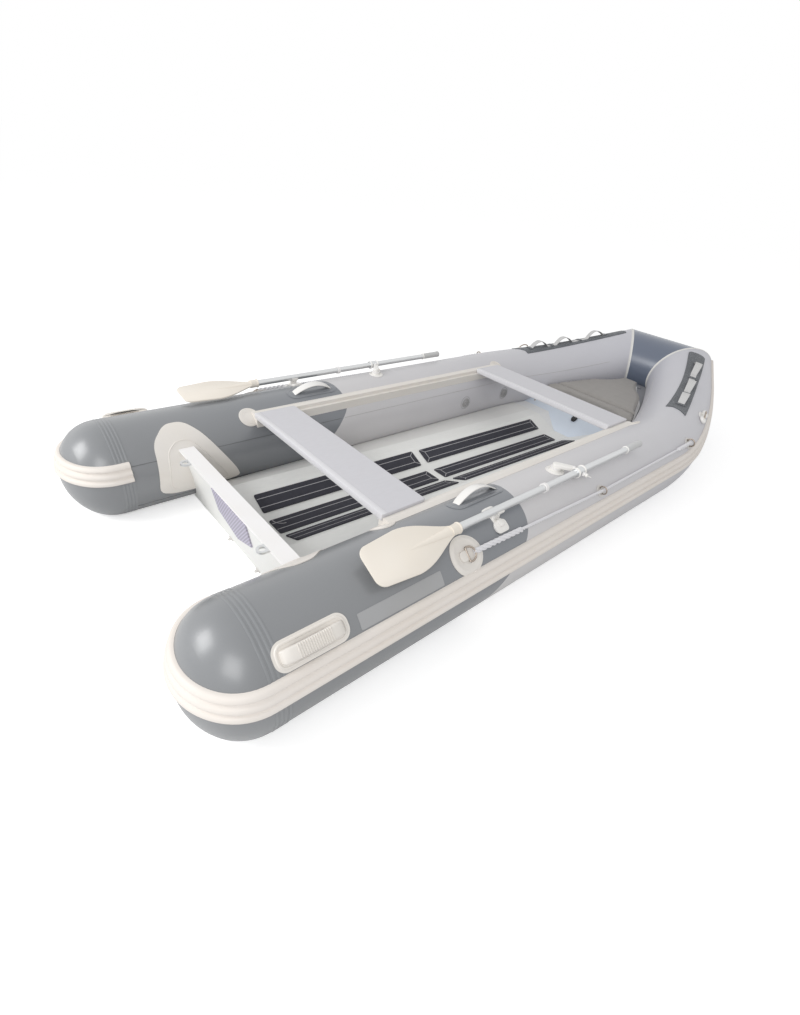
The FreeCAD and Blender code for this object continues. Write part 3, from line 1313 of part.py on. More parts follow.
def oar_clip():
    """Cradle on the port tube that the stowed oar drops into."""
    x0 = CLIP_FROM_TRANSOM - CLIP_LENGTH / 2
    x1 = CLIP_FROM_TRANSOM + CLIP_LENGTH / 2
    inner = OAR_SHAFT_DIAMETER + 2 * SEAT_CLEARANCE
    outer = inner + 2 * CLIP_WALL
    cradle = rod(oar_point(x0), oar_point(x1), outer)
    stem = box(aft(x0), aft(x1), OAR_SIDE - CLIP_WALL, OAR_SIDE + CLIP_WALL,
               AXIS_HEIGHT, AXIS_HEIGHT + OAR_HEIGHT)
    mouth = box(aft(x0), aft(x1), OAR_SIDE - outer, OAR_SIDE + outer,
                AXIS_HEIGHT + OAR_HEIGHT, AXIS_HEIGHT + OAR_HEIGHT + outer)
    body = joined([cradle, stem]).cut(rod(oar_point(x0), oar_point(x1), inner)).cut(mouth)
    body = body.cut(straight_tube(aft(x0) - 1, aft(x1) + 1, SEAT_RADIUS))
    return joined([body, clip_base()])


def clip_base():
    """Waisted base of the oar clip, with a lobe on each side of the shaft."""
    lobe_width = (CLIP_BASE_WIDTH - CLIP_WAIST_WIDTH) / 2
    depth = TUBE_RADIUS
    lobe = rounded_plate(CLIP_BASE_LENGTH, lobe_width, CLIP_CORNER_RADIUS, depth)
    shift = V(0, (CLIP_BASE_WIDTH - lobe_width) / 2, 0)
    waist = Part.makeBox(CLIP_WAIST, CLIP_BASE_WIDTH / 2, depth,
                         V(-CLIP_WAIST / 2, -CLIP_BASE_WIDTH / 4, -depth / 2))
    plate = joined([lobe.translated(shift), lobe.translated(-shift), waist])
    middle = aft(CLIP_FROM_TRANSOM)
    punch = on_tube(plate, middle, CLIP_BASE_ANGLE, TUBE_RADIUS)
    reach = CLIP_BASE_LENGTH
    shell = tube_shell(middle - reach, middle + reach, SEAT_RADIUS, SEAT_RADIUS + PATCH_THICKNESS)
    return shell.common(punch)


def export(name, shapes):
    """Write one STEP file with every solid of the given shapes."""
    solids = [solid for shape in shapes for solid in shape.Solids]
    body = solids[0] if len(solids) == 1 else Part.makeCompound(solids)
    body.exportStep("parts/" + name + ".step")
    print(name, len(solids), round(sum(s.Volume for s in solids) / 1e6, 4))


def export_pair(name, shape):
    """Write a port piece and its starboard copy as two nodes."""
    export(name + "_port", [shape])
    export(name + "_starboard", [mirrored(shape)])


def export_hull():
    """Write the tubes, the aluminium hull, the deck and the transom."""
    tube = swept_tube(SEAM_X, TUBE_RADIUS)
    forward = colour_break()
    export_pair("stern_tube", joined([nose(0.0), tube.cut(forward)]))
    export_pair("side_tube", tube.common(forward))
    export("bow_tube", [bow_tube(TUBE_RADIUS)])
    export_pair("rub_strake", side_strake())
    export("rub_strake_bow", [bow_strake()])
    hull = hull_body()
    deck = deck_plate()
    export("hull", [hull])
    export("deck", [deck])
    export("deck_skirts", [both_sides(deck_skirt())])
    aft_row, fore_row = mat_rows()
    export("deck_mats_aft", [mat_row(*aft_row)])
    export("deck_mats_fore", [mat_row(*fore_row)])
    export("transom", [transom_panel()])
    export("transom_cap", [transom_cap()])
    export_pair("transom_lug", transom_lug())
    export("motor_pad_aft", [motor_pad(-1)])
    export("motor_pad_fore", [motor_pad(1)])
    export("transom_drains", [transom_drain(DRAIN_SPACING / 2), transom_drain(-DRAIN_SPACING / 2)])
    export("transom_patches", [both_sides(transom_patch())])
    export("locker_front", [locker_front(hull, deck)])
    export("locker_rim", [locker_rim()])


def export_fittings():
    """Write what is fixed on the tubes, and the locker's lid."""
    export("thwart_aft", [thwart(aft(AFT_THWART_START))])
    export("thwart_fore", [thwart(from_bow(FORE_THWART_START))])
    export("seat_rails", [both_sides(seat_rail())])
    export("bow_patches", [both_sides(bow_patch())])
    export("bow_loops", [both_sides(bow_loop(x)) for x in (AFT_LOOP, MIDDLE_LOOP, FORE_LOOP)])
    export("carry_handles", [both_sides(carry_handle())])
    export("stern_handles", [both_sides(stern_handle())])
    export("line_eyes", [both_sides(eye) for eye in line_eyes()])
    export("valves", [both_sides(valve(x)) for x in (AFT_VALVE, FORE_VALVE)])
    export("oar_clips", [both_sides(oar_clip())])
    export("locker_lid", [locker_lid()])
    export("bow_cushion", [bow_cushion()])
    export("locker_latch", [locker_latch()])


def export_oars():
    """Write the rowlocks and the oars."""
    export_pair("rowlock_base", rowlock_base())
    export_pair("rowlock", rowlock_body())
    export_pair("oar_shaft", oar_shaft())
    export_pair("oar_stop", oar_stop())
    export_pair("oar_grip", oar_grip())
    export_pair("oar_blade", oar_blade())


export_hull()
export_fittings()
export_oars()
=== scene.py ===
"""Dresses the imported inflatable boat: finishes for its CAD nodes, soft goods, grab lines and trim.

Every length is in metres, in the boat's own frame: +X forward, +Y to port, +Z up from the waterline.
"""

from __future__ import annotations

import json
import logging
import math
from collections.abc import Callable, Sequence
from dataclasses import dataclass, field
from enum import Enum

import bpy
from mathutils import Matrix, Vector

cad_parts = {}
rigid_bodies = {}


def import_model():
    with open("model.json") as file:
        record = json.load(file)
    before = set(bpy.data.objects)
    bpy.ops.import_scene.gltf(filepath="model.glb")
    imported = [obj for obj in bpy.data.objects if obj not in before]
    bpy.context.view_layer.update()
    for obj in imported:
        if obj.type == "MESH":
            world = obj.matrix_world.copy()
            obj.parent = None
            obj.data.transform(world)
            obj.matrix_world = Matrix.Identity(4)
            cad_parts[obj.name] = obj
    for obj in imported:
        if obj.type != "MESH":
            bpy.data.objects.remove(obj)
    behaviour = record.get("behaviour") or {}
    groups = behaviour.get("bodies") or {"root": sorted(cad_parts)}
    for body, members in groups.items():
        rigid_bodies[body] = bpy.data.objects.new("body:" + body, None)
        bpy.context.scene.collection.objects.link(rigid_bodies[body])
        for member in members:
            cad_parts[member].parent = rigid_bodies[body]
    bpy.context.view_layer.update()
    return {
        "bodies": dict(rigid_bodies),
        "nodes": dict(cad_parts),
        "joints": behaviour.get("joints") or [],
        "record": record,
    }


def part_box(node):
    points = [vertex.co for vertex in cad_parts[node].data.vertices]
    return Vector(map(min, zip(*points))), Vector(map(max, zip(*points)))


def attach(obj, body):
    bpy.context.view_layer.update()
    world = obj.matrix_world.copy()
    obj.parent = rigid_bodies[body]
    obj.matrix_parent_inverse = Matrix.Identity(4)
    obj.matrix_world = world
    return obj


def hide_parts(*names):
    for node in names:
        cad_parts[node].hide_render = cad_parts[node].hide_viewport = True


LOG = logging.getLogger("boat")
Colour = tuple[float, float, float]
Place = tuple[float, float, float]
Pair = tuple[float, float]
Outline = list[Pair]

TRANSOM_X = -1.636
BOW_X = 2.111
TUBE_RADIUS = 0.215
TUBE_SIDE = 0.649
AXIS_HEIGHT = 0.190
SKIN = 0.0003          # clearance between a tube and what lies on it
PATCH = 0.0033         # top of a patch above the tube
SEAM_X = -1.924        # where the noses start
ROUND_STEP = 0.008     # between the planes that let a plate bend round a tube
TOP_NORMAL = 0.9       # least Z of a top face's normal
PIVOT = (-0.377, 0.737, 0.431)  # where the port oar turns


def aft(distance: float) -> float:
    """Place along X of a point that is a distance forward of the transom."""
    return TRANSOM_X + distance


def from_bow(distance: float) -> float:
    """Place along X of a point that is a distance back from the bow's tip."""
    return BOW_X - distance


def last_where(low: float, high: float, test: Callable[[float], bool]) -> float:
    """Where a test that holds at the low end stops to hold, found by halving the stretch.

    Args:
        low: a value that passes.
        high: a larger value that doesn't.
        test: the test.

    Returns:
        The largest value found that passes.
    """
    for _ in range(40):
        middle = (low + high) / 2
        if test(middle):
            low = middle
        else:
            high = middle
    return low


class Ring(Enum):
    """How a line eye holds its ring."""

    LYING = "lying"
    STANDING = "standing"


class Body(Enum):
    """Bodies that pieces ride on, with a pair of names where there are two."""

    BOAT = ("boat", "boat")
    OARS = ("oar_port", "oar_starboard")
    ROWLOCKS = ("rowlock_port", "rowlock_starboard")


# Shader graphs


class Socket:
    """A shader value that Python expressions can work on."""

    def __init__(self, graph: Graph, link: bpy.types.NodeSocket) -> None:
        """Wrap an output of a node.

        Args:
            graph: the graph that the node is in.
            link: the node's output socket.
        """
        self.graph = graph
        self.link = link

    def _maths(self, operation: str, *values: Socket | float) -> Socket:
        """Add a Math node.

        Args:
            operation: the node's operation.
            values: its inputs, in order.

        Returns:
            The node's output.
        """
        return self.graph.node("ShaderNodeMath", {"operation": operation}, *values)

    def __add__(self, other: Socket | float) -> Socket:
        """Sum of two values."""
        return self._maths("ADD", self, other)

    def __radd__(self, other: float) -> Socket:
        """Sum with a number on the left."""
        return self._maths("ADD", other, self)

    def __sub__(self, other: Socket | float) -> Socket:
        """Difference of two values."""
        return self._maths("SUBTRACT", self, other)

    def __rsub__(self, other: float) -> Socket:
        """Difference from a number on the left."""
        return self._maths("SUBTRACT", other, self)

    def __mul__(self, other: Socket | float) -> Socket:
        """Product of two values."""
        return self._maths("MULTIPLY", self, other)

    def __rmul__(self, other: float) -> Socket:
        """Product with a number on the left."""
        return self._maths("MULTIPLY", other, self)

    def wave(self) -> Socket:
        """Sine of the value, moved into 0 to 1."""
        return self._maths("SINE", self) * 0.5 + 0.5


class Graph:
    """The node tree of one material or world."""

    def __init__(self, owner: bpy.types.Material | bpy.types.World) -> None:
        """Start with an empty tree.

        Args:
            owner: the material or world that the tree is for.
        """
        owner.use_nodes = True
        self.owner = owner
        self.tree = owner.node_tree
        self.tree.nodes.clear()

    def node(self, kind: str, settings: dict | None = None, *values: object, output: int | str = 0,
             **named: object) -> Socket:
        """Add a node of any type.

        Args:
            kind: the node's type.
            settings: its properties, such as a Math node's operation.
            values: what goes into its inputs, in order.
            output: the output that is wanted.
            named: what goes into its inputs, by name with _ for a space.

        Returns:
            That output.
        """
        made = self.tree.nodes.new(kind)
        for key, value in (settings or {}).items():
            setattr(made, key, value)
        for slot, value in enumerate(values):
            self.feed(made.inputs[slot], value)
        for key, value in named.items():
            self.feed(made.inputs[key.replace("_", " ")], value)
        return Socket(self, made.outputs[output])

    def feed(self, slot: bpy.types.NodeSocket, value: object) -> None:
        """Link or set one input."""
        if isinstance(value, Socket):
            self.tree.links.new(value.link, slot)
        elif isinstance(value, tuple) and slot.type == "RGBA":
            slot.default_value = (*value, 1.0)
        else:
            slot.default_value = value

    def place(self, stretch: Place = (1.0, 1.0, 1.0)) -> Socket:
        """Object coordinates, scaled along each axis."""
        source = self.node("ShaderNodeTexCoord", output="Object")
        return self.node("ShaderNodeMapping", {}, Vector=source, Scale=stretch)

    def parts(self) -> list[Socket]:
        """Object coordinates as three numbers."""
        split = self.node("ShaderNodeSeparateXYZ", {}, self.place())
        return [Socket(self, output) for output in split.link.node.outputs]

    def noise(self, scale: float, detail: float = 3.0, stretch: Place = (1.0, 1.0, 1.0)) -> Socket:
        """Noise from 0 to 1 on Object coordinates, at a number of features per metre."""
        return self.node("ShaderNodeTexNoise", {}, Vector=self.place(stretch), Scale=scale, Detail=detail)

    def cells(self, scale: float) -> Socket:
        """Distance to the nearest cell centre, for a moulded grain."""
        return self.node("ShaderNodeTexVoronoi", {}, Vector=self.place(), Scale=scale)

    def blend(self, share: Socket, low: Colour | Socket, high: Colour | Socket) -> Socket:
        """Colour between two others by a share."""
        mixed = self.node("ShaderNodeMix", {"data_type": "RGBA"}, Factor=share, output=2)
        for slot, colour in ((6, low), (7, high)):
            self.feed(mixed.link.node.inputs[slot], colour)
        return mixed

    def surface(self, tone: Socket, relief: Socket, strength: float, distance: float,
                **rest: object) -> None:
        """Close the graph with a Principled shader.

        Args:
            tone: its colour.
            relief: the heights that its bump follows.
            strength: the bump's strength.
            distance: the bump's size in metres.
            rest: what goes into its other inputs, by name with _ for a space.
        """
        bump = self.node("ShaderNodeBump", {}, Strength=strength, Distance=distance, Height=relief)
        self.close(self.node("ShaderNodeBsdfPrincipled", {}, Base_Color=tone, Normal=bump, **rest))

    def close(self, shader: Socket, kind: str = "ShaderNodeOutputMaterial") -> None:
        """Lead a shader to the output node."""
        self.feed(self.tree.nodes.new(kind).inputs["Surface"], shader)


def shade(colour: Colour, factor: float) -> Colour:
    """A colour made lighter or darker."""
    return tuple(min(1.0, part * factor) for part in colour)


# Finishes


@dataclass(frozen=True)
class Finish:
    """A look: its name, its main colour and the nodes that paint it."""

    name: str
    colour: Colour

    def build(self) -> bpy.types.Material:
        """Make the material."""
        g = Graph(bpy.data.materials.new(self.name))
        self.paint(g)
        return g.owner

    def paint(self, g: Graph) -> None:
        """Add the nodes."""
        raise NotImplementedError

    def tone(self, share: Socket, low: float, high: float) -> Socket:
        """The main colour, made darker or lighter by a share."""
        return share.graph.blend(share, shade(self.colour, low), shade(self.colour, high))


@dataclass(frozen=True)
class CoatedFabric(Finish):
    """Coated tube cloth: a satin skin over a fine weave, which may fade towards the bow to a darker, bluer
    colour as painted shade.
    """

    roughness: float
    coat: float
    fore: Colour | None = None
    fade_start: float = -1.6
    fade_rate: float = 0.28

    def paint(self, g: Graph) -> None:
        """Add the nodes."""
        broad = g.noise(3.0, 4.0)
        fine = g.noise(260.0, 2.0)
        mottle = broad * 0.7 + fine * 0.3
        tone = self.tone(mottle, 0.93, 1.07)
        # Painted shade: the cloth darkens towards the bow, where less lamp light reaches.
        if self.fore:
            fore = g.blend(mottle, shade(self.fore, 0.93), shade(self.fore, 1.07))
            tone = g.blend((g.parts()[0] - self.fade_start) * self.fade_rate, tone, fore)
        rough = broad * 0.12 + fine * 0.05 + (self.roughness - 0.085)
        relief = g.cells(900.0) * 0.5 + g.noise(14.0, 2.0) * 1.5
        g.surface(tone, relief, 0.22, 0.0006, Roughness=rough, Specular_IOR_Level=0.5, Coat_Roughness=0.25,
                  Coat_Weight=self.coat)


@dataclass(frozen=True)
class MouldedRubber(Finish):
    """Moulded rubber or soft plastic with a fine grain and slight yellowing."""

    roughness: float
    grain: float = 700.0

    def paint(self, g: Graph) -> None:
        """Add the nodes."""
        broad = g.noise(6.0, 4.0)
        warm = (self.colour[0] * 0.99, self.colour[1] * 0.965, self.colour[2] * 0.925)
        tone = g.blend(broad, shade(self.colour, 1.04), warm)
        relief = g.cells(self.grain) * 0.6 + g.noise(60.0, 3.0) * 0.6
        g.surface(tone, relief, 0.18, 0.0005, Roughness=broad * 0.1 + (self.roughness - 0.05),
                  Specular_IOR_Level=0.45)


@dataclass(frozen=True)
class PowderCoat(Finish):
    """Powder-coated sheet metal with orange peel and faint handling marks."""

    roughness: float

    def paint(self, g: Graph) -> None:
        """Add the nodes."""
        marks = g.noise(28.0, 6.0, (1.0, 3.0, 3.0))
        g.surface(self.tone(marks, 0.94, 1.03), g.noise(420.0, 2.0), 0.15, 0.0005,
                  Roughness=marks * 0.14 + (self.roughness - 0.07), Specular_IOR_Level=0.5,
                  Coat_Weight=0.1, Coat_Roughness=0.3)


@dataclass(frozen=True)
class DeckFoam(Finish):
    """Closed-cell deck foam with brushed grooves along the boat."""

    grooves_per_metre: float = 210.0

    def paint(self, g: Graph) -> None:
        """Add the nodes."""
        grooves = (g.parts()[1] * (2 * math.pi * self.grooves_per_metre)).wave()
        relief = g.cells(600.0) * 0.5 + grooves * 0.5
        g.surface(self.tone(g.noise(40.0, 4.0), 0.8, 1.35), relief, 0.4, 0.0008, Roughness=0.82,
                  Specular_IOR_Level=0.3)


@dataclass(frozen=True)
class BrushedMetal(Finish):
    """Aluminium brushed along the boat, or any polished metal."""

    roughness: float

    def paint(self, g: Graph) -> None:
        """Add the nodes."""
        lines = g.noise(180.0, 4.0, (0.04, 1.0, 1.0))
        g.surface(self.tone(lines, 0.86, 1.05), lines, 0.12, 0.0003, Metallic=1.0,
                  Roughness=lines * 0.16 + (self.roughness - 0.08))


@dataclass(frozen=True)
class Webbing(Finish):
    """Flat woven strap: ribs across the strap and threads along it, with painted shade in the weave's
    hollows.
    """

    ribs_per_metre: float = 420.0

    def paint(self, g: Graph) -> None:
        """Add the nodes."""
        along, across, up = g.parts()
        turn = 2 * math.pi * self.ribs_per_metre
        relief = (along * turn).wave() * ((across + up) * (turn * 1.4)).wave()
        # Painted shade: the colour follows the weave's relief, darker in its hollows.
        g.surface(self.tone(relief, 0.78, 1.05), relief, 0.5, 0.0007, Roughness=0.78, Sheen_Weight=0.25,
                  Sheen_Roughness=0.4)


@dataclass(frozen=True)
class RibbedPad(Finish):
    """Hard plastic with fine slanted ribs that cross each other, coloured darker in the grooves and lighter
    on the tops as painted shade and highlight.
    """

    ribs_per_metre: float = 62.0

    def paint(self, g: Graph) -> None:
        """Add the nodes."""
        _, across, up = g.parts()
        turn = 2 * math.pi * self.ribs_per_metre
        relief = ((across + up) * turn).wave() * 0.7 + ((across - up) * (turn * 0.5)).wave() * 0.3
        # Painted shade and highlight: the colour follows the ribs' relief, darker in the grooves and lighter
        # on the tops.
        g.surface(self.tone(relief, 0.60, 1.15), relief, 0.6, 0.0015, Roughness=0.5, Specular_IOR_Level=0.45)


@dataclass(frozen=True)
class Vinyl(Finish):
    """Grained marine vinyl over foam."""

    def paint(self, g: Graph) -> None:
        """Add the nodes."""
        grain = g.cells(330.0)
        creases = g.noise(24.0, 5.0)
        g.surface(self.tone(creases, 0.9, 1.08), grain * 0.7 + creases * 0.8, 0.35, 0.0009,
                  Roughness=grain * 0.12 + 0.46, Specular_IOR_Level=0.45, Sheen_Weight=0.08)


@dataclass(frozen=True)
class SpunRope(Finish):
    """Spun synthetic rope: fine yarns on the strands."""

    def paint(self, g: Graph) -> None:
        """Add the nodes."""
        yarn = g.noise(900.0, 2.0, (0.35, 1.0, 1.0))
        g.surface(self.tone(yarn, 0.82, 1.04), yarn, 0.5, 0.0006, Roughness=0.62, Sheen_Weight=0.2)


SLATE: Colour = (0.222, 0.230, 0.240)
STONE: Colour = (0.620, 0.605, 0.600)
CREAM: Colour = (0.750, 0.725, 0.695)

FINISHES = {finish.name: finish for finish in (
    # The last colour of each tube cloth is painted shade towards the bow.
    CoatedFabric("dark_fabric", SLATE, 0.33, 0.60, (0.112, 0.138, 0.195)),
    CoatedFabric("pale_fabric", STONE, 0.40, 0.12, (0.545, 0.545, 0.590)),
    MouldedRubber("strake_rubber", (0.760, 0.720, 0.685), 0.50),
    PowderCoat("hull_paint", (0.790, 0.795, 0.795), 0.42),
    PowderCoat("deck_paint", (0.820, 0.822, 0.800), 0.46),
    CoatedFabric("skirt_fabric", (0.760, 0.755, 0.735), 0.5, 0.0),
    DeckFoam("deck_foam", (0.040, 0.040, 0.050)),
    MouldedRubber("white_plastic", (0.840, 0.838, 0.850), 0.36),
    PowderCoat("bench_plastic", (0.600, 0.595, 0.625), 0.44),
    BrushedMetal("bare_aluminium", (0.720, 0.730, 0.735), 0.36),
    RibbedPad("pad_plastic", (0.480, 0.455, 0.560)),
    MouldedRubber("pad_rubber", (0.060, 0.045, 0.040), 0.70),
    MouldedRubber("black_plastic", (0.016, 0.016, 0.018), 0.48),
    MouldedRubber("moulded_rubber", CREAM, 0.46),
    Webbing("webbing", (0.740, 0.735, 0.730)),
    Vinyl("cushion_vinyl", (0.300, 0.285, 0.270)),
    MouldedRubber("grip_rubber", (0.560, 0.570, 0.580), 0.6),
    MouldedRubber("blade_plastic", (0.800, 0.755, 0.690), 0.42),
)}

FITTING = MouldedRubber("fitting_plastic", (0.840, 0.835, 0.825), 0.34)
PALE_MOULDING = MouldedRubber("pale_moulding", (0.620, 0.610, 0.600), 0.40)
COARSE_CLOTH = Webbing("coarse_cloth", (0.115, 0.125, 0.140), 620.0)
INLAY = MouldedRubber("inlay", (0.420, 0.420, 0.440), 0.6)
STRIP = PowderCoat("strip_paint", (0.730, 0.725, 0.750), 0.42)
ROPE = SpunRope("line_rope", (0.780, 0.775, 0.800))
METAL = BrushedMetal("ring_metal", (0.420, 0.360, 0.310), 0.30)
OWN_FINISHES = {
    "locker_front": MouldedRubber("locker_shell", (0.640, 0.710, 0.810), 0.40),
    "locker_rim": MouldedRubber("locker_shade", (0.340, 0.350, 0.380), 0.50),
    "transom_drains": PALE_MOULDING,
    "oar_clips": FITTING,
    "rowlock_base_port": FITTING,
    "rowlock_base_starboard": FITTING,
    "valves": MouldedRubber("valve_plastic", (0.420, 0.420, 0.430), 0.40),
}


class Palette:
    """Makes each material once, and keeps it by its finish's name."""

    def __init__(self) -> None:
        """Start with no material made."""
        self.made: dict[str, bpy.types.Material] = {}

    def get(self, slot: str, finish: Finish | None = None) -> bpy.types.Material:
        """The material of a finish, or of the record's slot where there is none."""
        finish = finish or FINISHES[slot]
        if finish.name not in self.made:
            self.made[finish.name] = finish.build()
        return self.made[finish.name]


# Modelling


def linked(obj: bpy.types.Object) -> bpy.types.Object:
    """The same object, put into the scene."""
    bpy.context.scene.collection.objects.link(obj)
    return obj


class Bench:
    """Operators that shape one mesh at a time, as by hand."""

    @staticmethod
    def clear() -> None:
        """Leave edit mode and deselect everything."""
        if bpy.context.mode != "OBJECT":
            bpy.ops.object.mode_set(mode="OBJECT")
        bpy.ops.object.select_all(action="DESELECT")

    @staticmethod
    def take(obj: bpy.types.Object) -> None:
        """Select one object and make it active."""
        Bench.clear()
        obj.select_set(True)
        bpy.context.view_layer.objects.active = obj

    @staticmethod
    def named(name: str) -> bpy.types.Object:
        """Name the object that an operator has just added, with its place in its mesh."""
        bpy.ops.object.transform_apply(location=True, rotation=True, scale=True)
        return Bench.renamed(bpy.context.object, name)

    @staticmethod
    def box(name: str, low: Place, high: Place) -> bpy.types.Object:
        """A block between two corners."""
        Bench.clear()
        middle = [(a + b) / 2 for a, b in zip(low, high)]
        bpy.ops.mesh.primitive_cube_add(size=1.0, location=middle)
        bpy.context.object.scale = [b - a for a, b in zip(low, high)]
        return Bench.named(name)

    @staticmethod
    def drum(name: str, start: Place, end: Place, radius: float, sides: int = 32, caps: bool = True,
             tip: float | None = None) -> bpy.types.Object:
        """A round bar or an open ring between two points, which may taper to a tip radius."""
        Bench.clear()
        axis = Vector(end) - Vector(start)
        turn = axis.to_track_quat("Z", "Y").to_euler()
        bpy.ops.mesh.primitive_cone_add(
            vertices=sides, radius1=radius, radius2=radius if tip is None else tip, depth=axis.length,
            end_fill_type="NGON" if caps else "NOTHING", location=(Vector(start) + Vector(end)) / 2,
            rotation=turn,
        )
        return Bench.named(name)

    @staticmethod
    def ring(name: str, radius: float, wire: float, place: Place = (0, 0, 0), turn: Place = (0, 0, 0),
             around: int = 36, sides: int = 10) -> bpy.types.Object:
        """A round ring of wire."""
        Bench.clear()
        bpy.ops.mesh.primitive_torus_add(
            major_radius=radius, minor_radius=wire, major_segments=around, minor_segments=sides,
            location=place, rotation=[math.radians(angle) for angle in turn],
        )
        return Bench.named(name)

    @staticmethod
    def strip(name: str, length: float, width: float, along: float = 0.02,
              across: float = 0.02) -> bpy.types.Object:
        """A flat sheet about the origin, divided so that it can follow a curve."""
        Bench.clear()
        bpy.ops.mesh.primitive_grid_add(x_subdivisions=max(1, round(length / along)),
                                        y_subdivisions=max(1, round(width / across)), size=1.0)
        bpy.context.object.scale = (length, width, 1.0)
        return Bench.named(name)

    @staticmethod
    def pipe(name: str, points: Sequence[Vector], radius: float, closed: bool = False,
             sides: int = 2, steps: int = 4) -> bpy.types.Object:
        """A round bar along a smooth line that its points lead."""
        curve = bpy.data.curves.new(name, "CURVE")
        curve.dimensions = "3D"
        curve.resolution_u = steps
        spline = curve.splines.new("NURBS")
        spline.points.add(len(points) - 1)
        for knot, place in zip(spline.points, points):
            knot.co = (*place, 1.0)
        spline.use_cyclic_u = closed
        spline.order_u = 3
        spline.use_endpoint_u = not closed
        curve.bevel_depth = radius
        curve.bevel_resolution = sides
        curve.use_fill_caps = True
        Bench.take(linked(bpy.data.objects.new(name, curve)))
        bpy.ops.object.convert(target="MESH")
        return Bench.named(name)

    @staticmethod
    def swept(name: str, rings: Sequence[Sequence[Vector]]) -> bpy.types.Object:
        """A closed skin through rings of points, with both ends filled.

        Args:
            name: the piece's name.
            rings: closed rings, each with the same number of points.

        Returns:
            The skin, with its faces outwards.
        """
        around = len(rings[0])
        Bench.clear()
        bpy.ops.mesh.primitive_grid_add(x_subdivisions=len(rings) - 1, y_subdivisions=around, size=2.0)
        obj = Bench.named(name)
        for vertex in obj.data.vertices:
            ring = round((vertex.co.x + 1) / 2 * (len(rings) - 1))
            slot = round((vertex.co.y + 1) / 2 * around)
            vertex.co = rings[ring][slot % around]
        Bench.pick_all(obj)
        bpy.ops.mesh.remove_doubles(threshold=1e-6)
        bpy.ops.mesh.fill_holes(sides=0)
        bpy.ops.mesh.normals_make_consistent(inside=False)
        Bench.done()
        return obj

    @staticmethod
    def moved(obj: bpy.types.Object, matrix: Matrix) -> bpy.types.Object:
        """Move a mesh, with its object left where it is."""
        obj.data.transform(matrix)
        return obj

    @staticmethod
    def shifted(obj: bpy.types.Object, x: float = 0.0, y: float = 0.0, z: float = 0.0) -> bpy.types.Object:
        """Slide a mesh, with its object left where it is."""
        return Bench.moved(obj, Matrix.Translation((x, y, z)))

    @staticmethod
    def stepped(obj: bpy.types.Object, steps: Sequence[Pair]) -> bpy.types.Object:
        """Step the top of a plate inwards.

        Args:
            obj: the plate.
            steps: how far in and how far up each step goes.

        Returns:
            The same plate.
        """
        Bench.pick_all(obj)
        bpy.ops.mesh.select_mode(type="FACE")
        bpy.ops.mesh.select_all(action="DESELECT")
        Bench.done()
        for face in obj.data.polygons:
            face.select = face.normal.z > TOP_NORMAL
        bpy.ops.object.mode_set(mode="EDIT")
        for thickness, depth in steps:
            bpy.ops.mesh.inset(thickness=thickness, depth=depth)
        Bench.done()
        return obj

    @staticmethod
    def pick_all(obj: bpy.types.Object) -> None:
        """Select the whole mesh in edit mode."""
        Bench.take(obj)
        bpy.ops.object.mode_set(mode="EDIT")
        bpy.ops.mesh.select_all(action="SELECT")

    @staticmethod
    def done() -> None:
        """Leave edit mode."""
        bpy.ops.object.mode_set(mode="OBJECT")

    @staticmethod
    def finish_with(obj: bpy.types.Object, kind: str, **settings: object) -> bpy.types.Object:
        """Add a modifier and apply it."""
        Bench.take(obj)
        modifier = obj.modifiers.new(kind.lower(), kind)
        for key, value in settings.items():
            setattr(modifier, key, value)
        bpy.ops.object.modifier_apply(modifier=modifier.name)
        return obj

    @staticmethod
    def soften(obj: bpy.types.Object, width: float, segments: int = 2,
               angle: float = 35.0) -> bpy.types.Object:
        """Round the sharp edges of a piece."""
        return Bench.finish_with(obj, "BEVEL", width=width, segments=segments, limit_method="ANGLE",
                                 angle_limit=math.radians(angle))

    @staticmethod
    def smooth(obj: bpy.types.Object, angle: float = 40.0) -> None:
        """Shade smooth across all but sharp edges."""
        Bench.take(obj)
        bpy.ops.object.shade_smooth_by_angle(angle=math.radians(angle))

    @staticmethod
    def outward(obj: bpy.types.Object) -> bpy.types.Object:
        """Merge doubles and point all faces outwards."""
        Bench.pick_all(obj)
        bpy.ops.mesh.remove_doubles(threshold=1e-6)
        bpy.ops.mesh.normals_make_consistent(inside=False)
        Bench.done()
        return obj

    @staticmethod
    def cut(obj: bpy.types.Object, point: Place, normal: Place, keep_front: bool = False,
            fill: bool = False) -> None:
        """Bisect a mesh and keep one side of the plane."""
        Bench.pick_all(obj)
        bpy.ops.mesh.bisect(plane_co=point, plane_no=normal, use_fill=fill,
                            clear_inner=keep_front, clear_outer=not keep_front)
        Bench.done()

    @staticmethod
    def sliced(obj: bpy.types.Object, axis: int = 1, step: float = ROUND_STEP) -> bpy.types.Object:
        """Divide a mesh with planes across an axis, so that it can follow a curve."""
        low = min(vertex.co[axis] for vertex in obj.data.vertices)
        high = max(vertex.co[axis] for vertex in obj.data.vertices)
        normal = [float(number == axis) for number in range(3)]
        count = max(1, round((high - low) / step))
        for index in range(1, count):
            place = low + (high - low) * index / count
            Bench.pick_all(obj)
            bpy.ops.mesh.bisect(plane_co=[place * part for part in normal], plane_no=normal)
        Bench.done()
        return obj

    @staticmethod
    def merged(name: str, pieces: Sequence[bpy.types.Object]) -> bpy.types.Object:
        """Join several meshes into one object."""
        Bench.clear()
        for piece in pieces:
            piece.select_set(True)
        bpy.context.view_layer.objects.active = pieces[0]
        bpy.ops.object.join()
        return Bench.renamed(bpy.context.object, name)

    @staticmethod
    def renamed(obj: bpy.types.Object, name: str) -> bpy.types.Object:
        """Name an object and its mesh."""
        obj.name = name
        obj.data.name = name
        return obj

    @staticmethod
    def copy(obj: bpy.types.Object, name: str) -> bpy.types.Object:
        """A copy with its own mesh."""
        made = obj.copy()
        made.data = obj.data.copy()
        return Bench.renamed(linked(made), name)

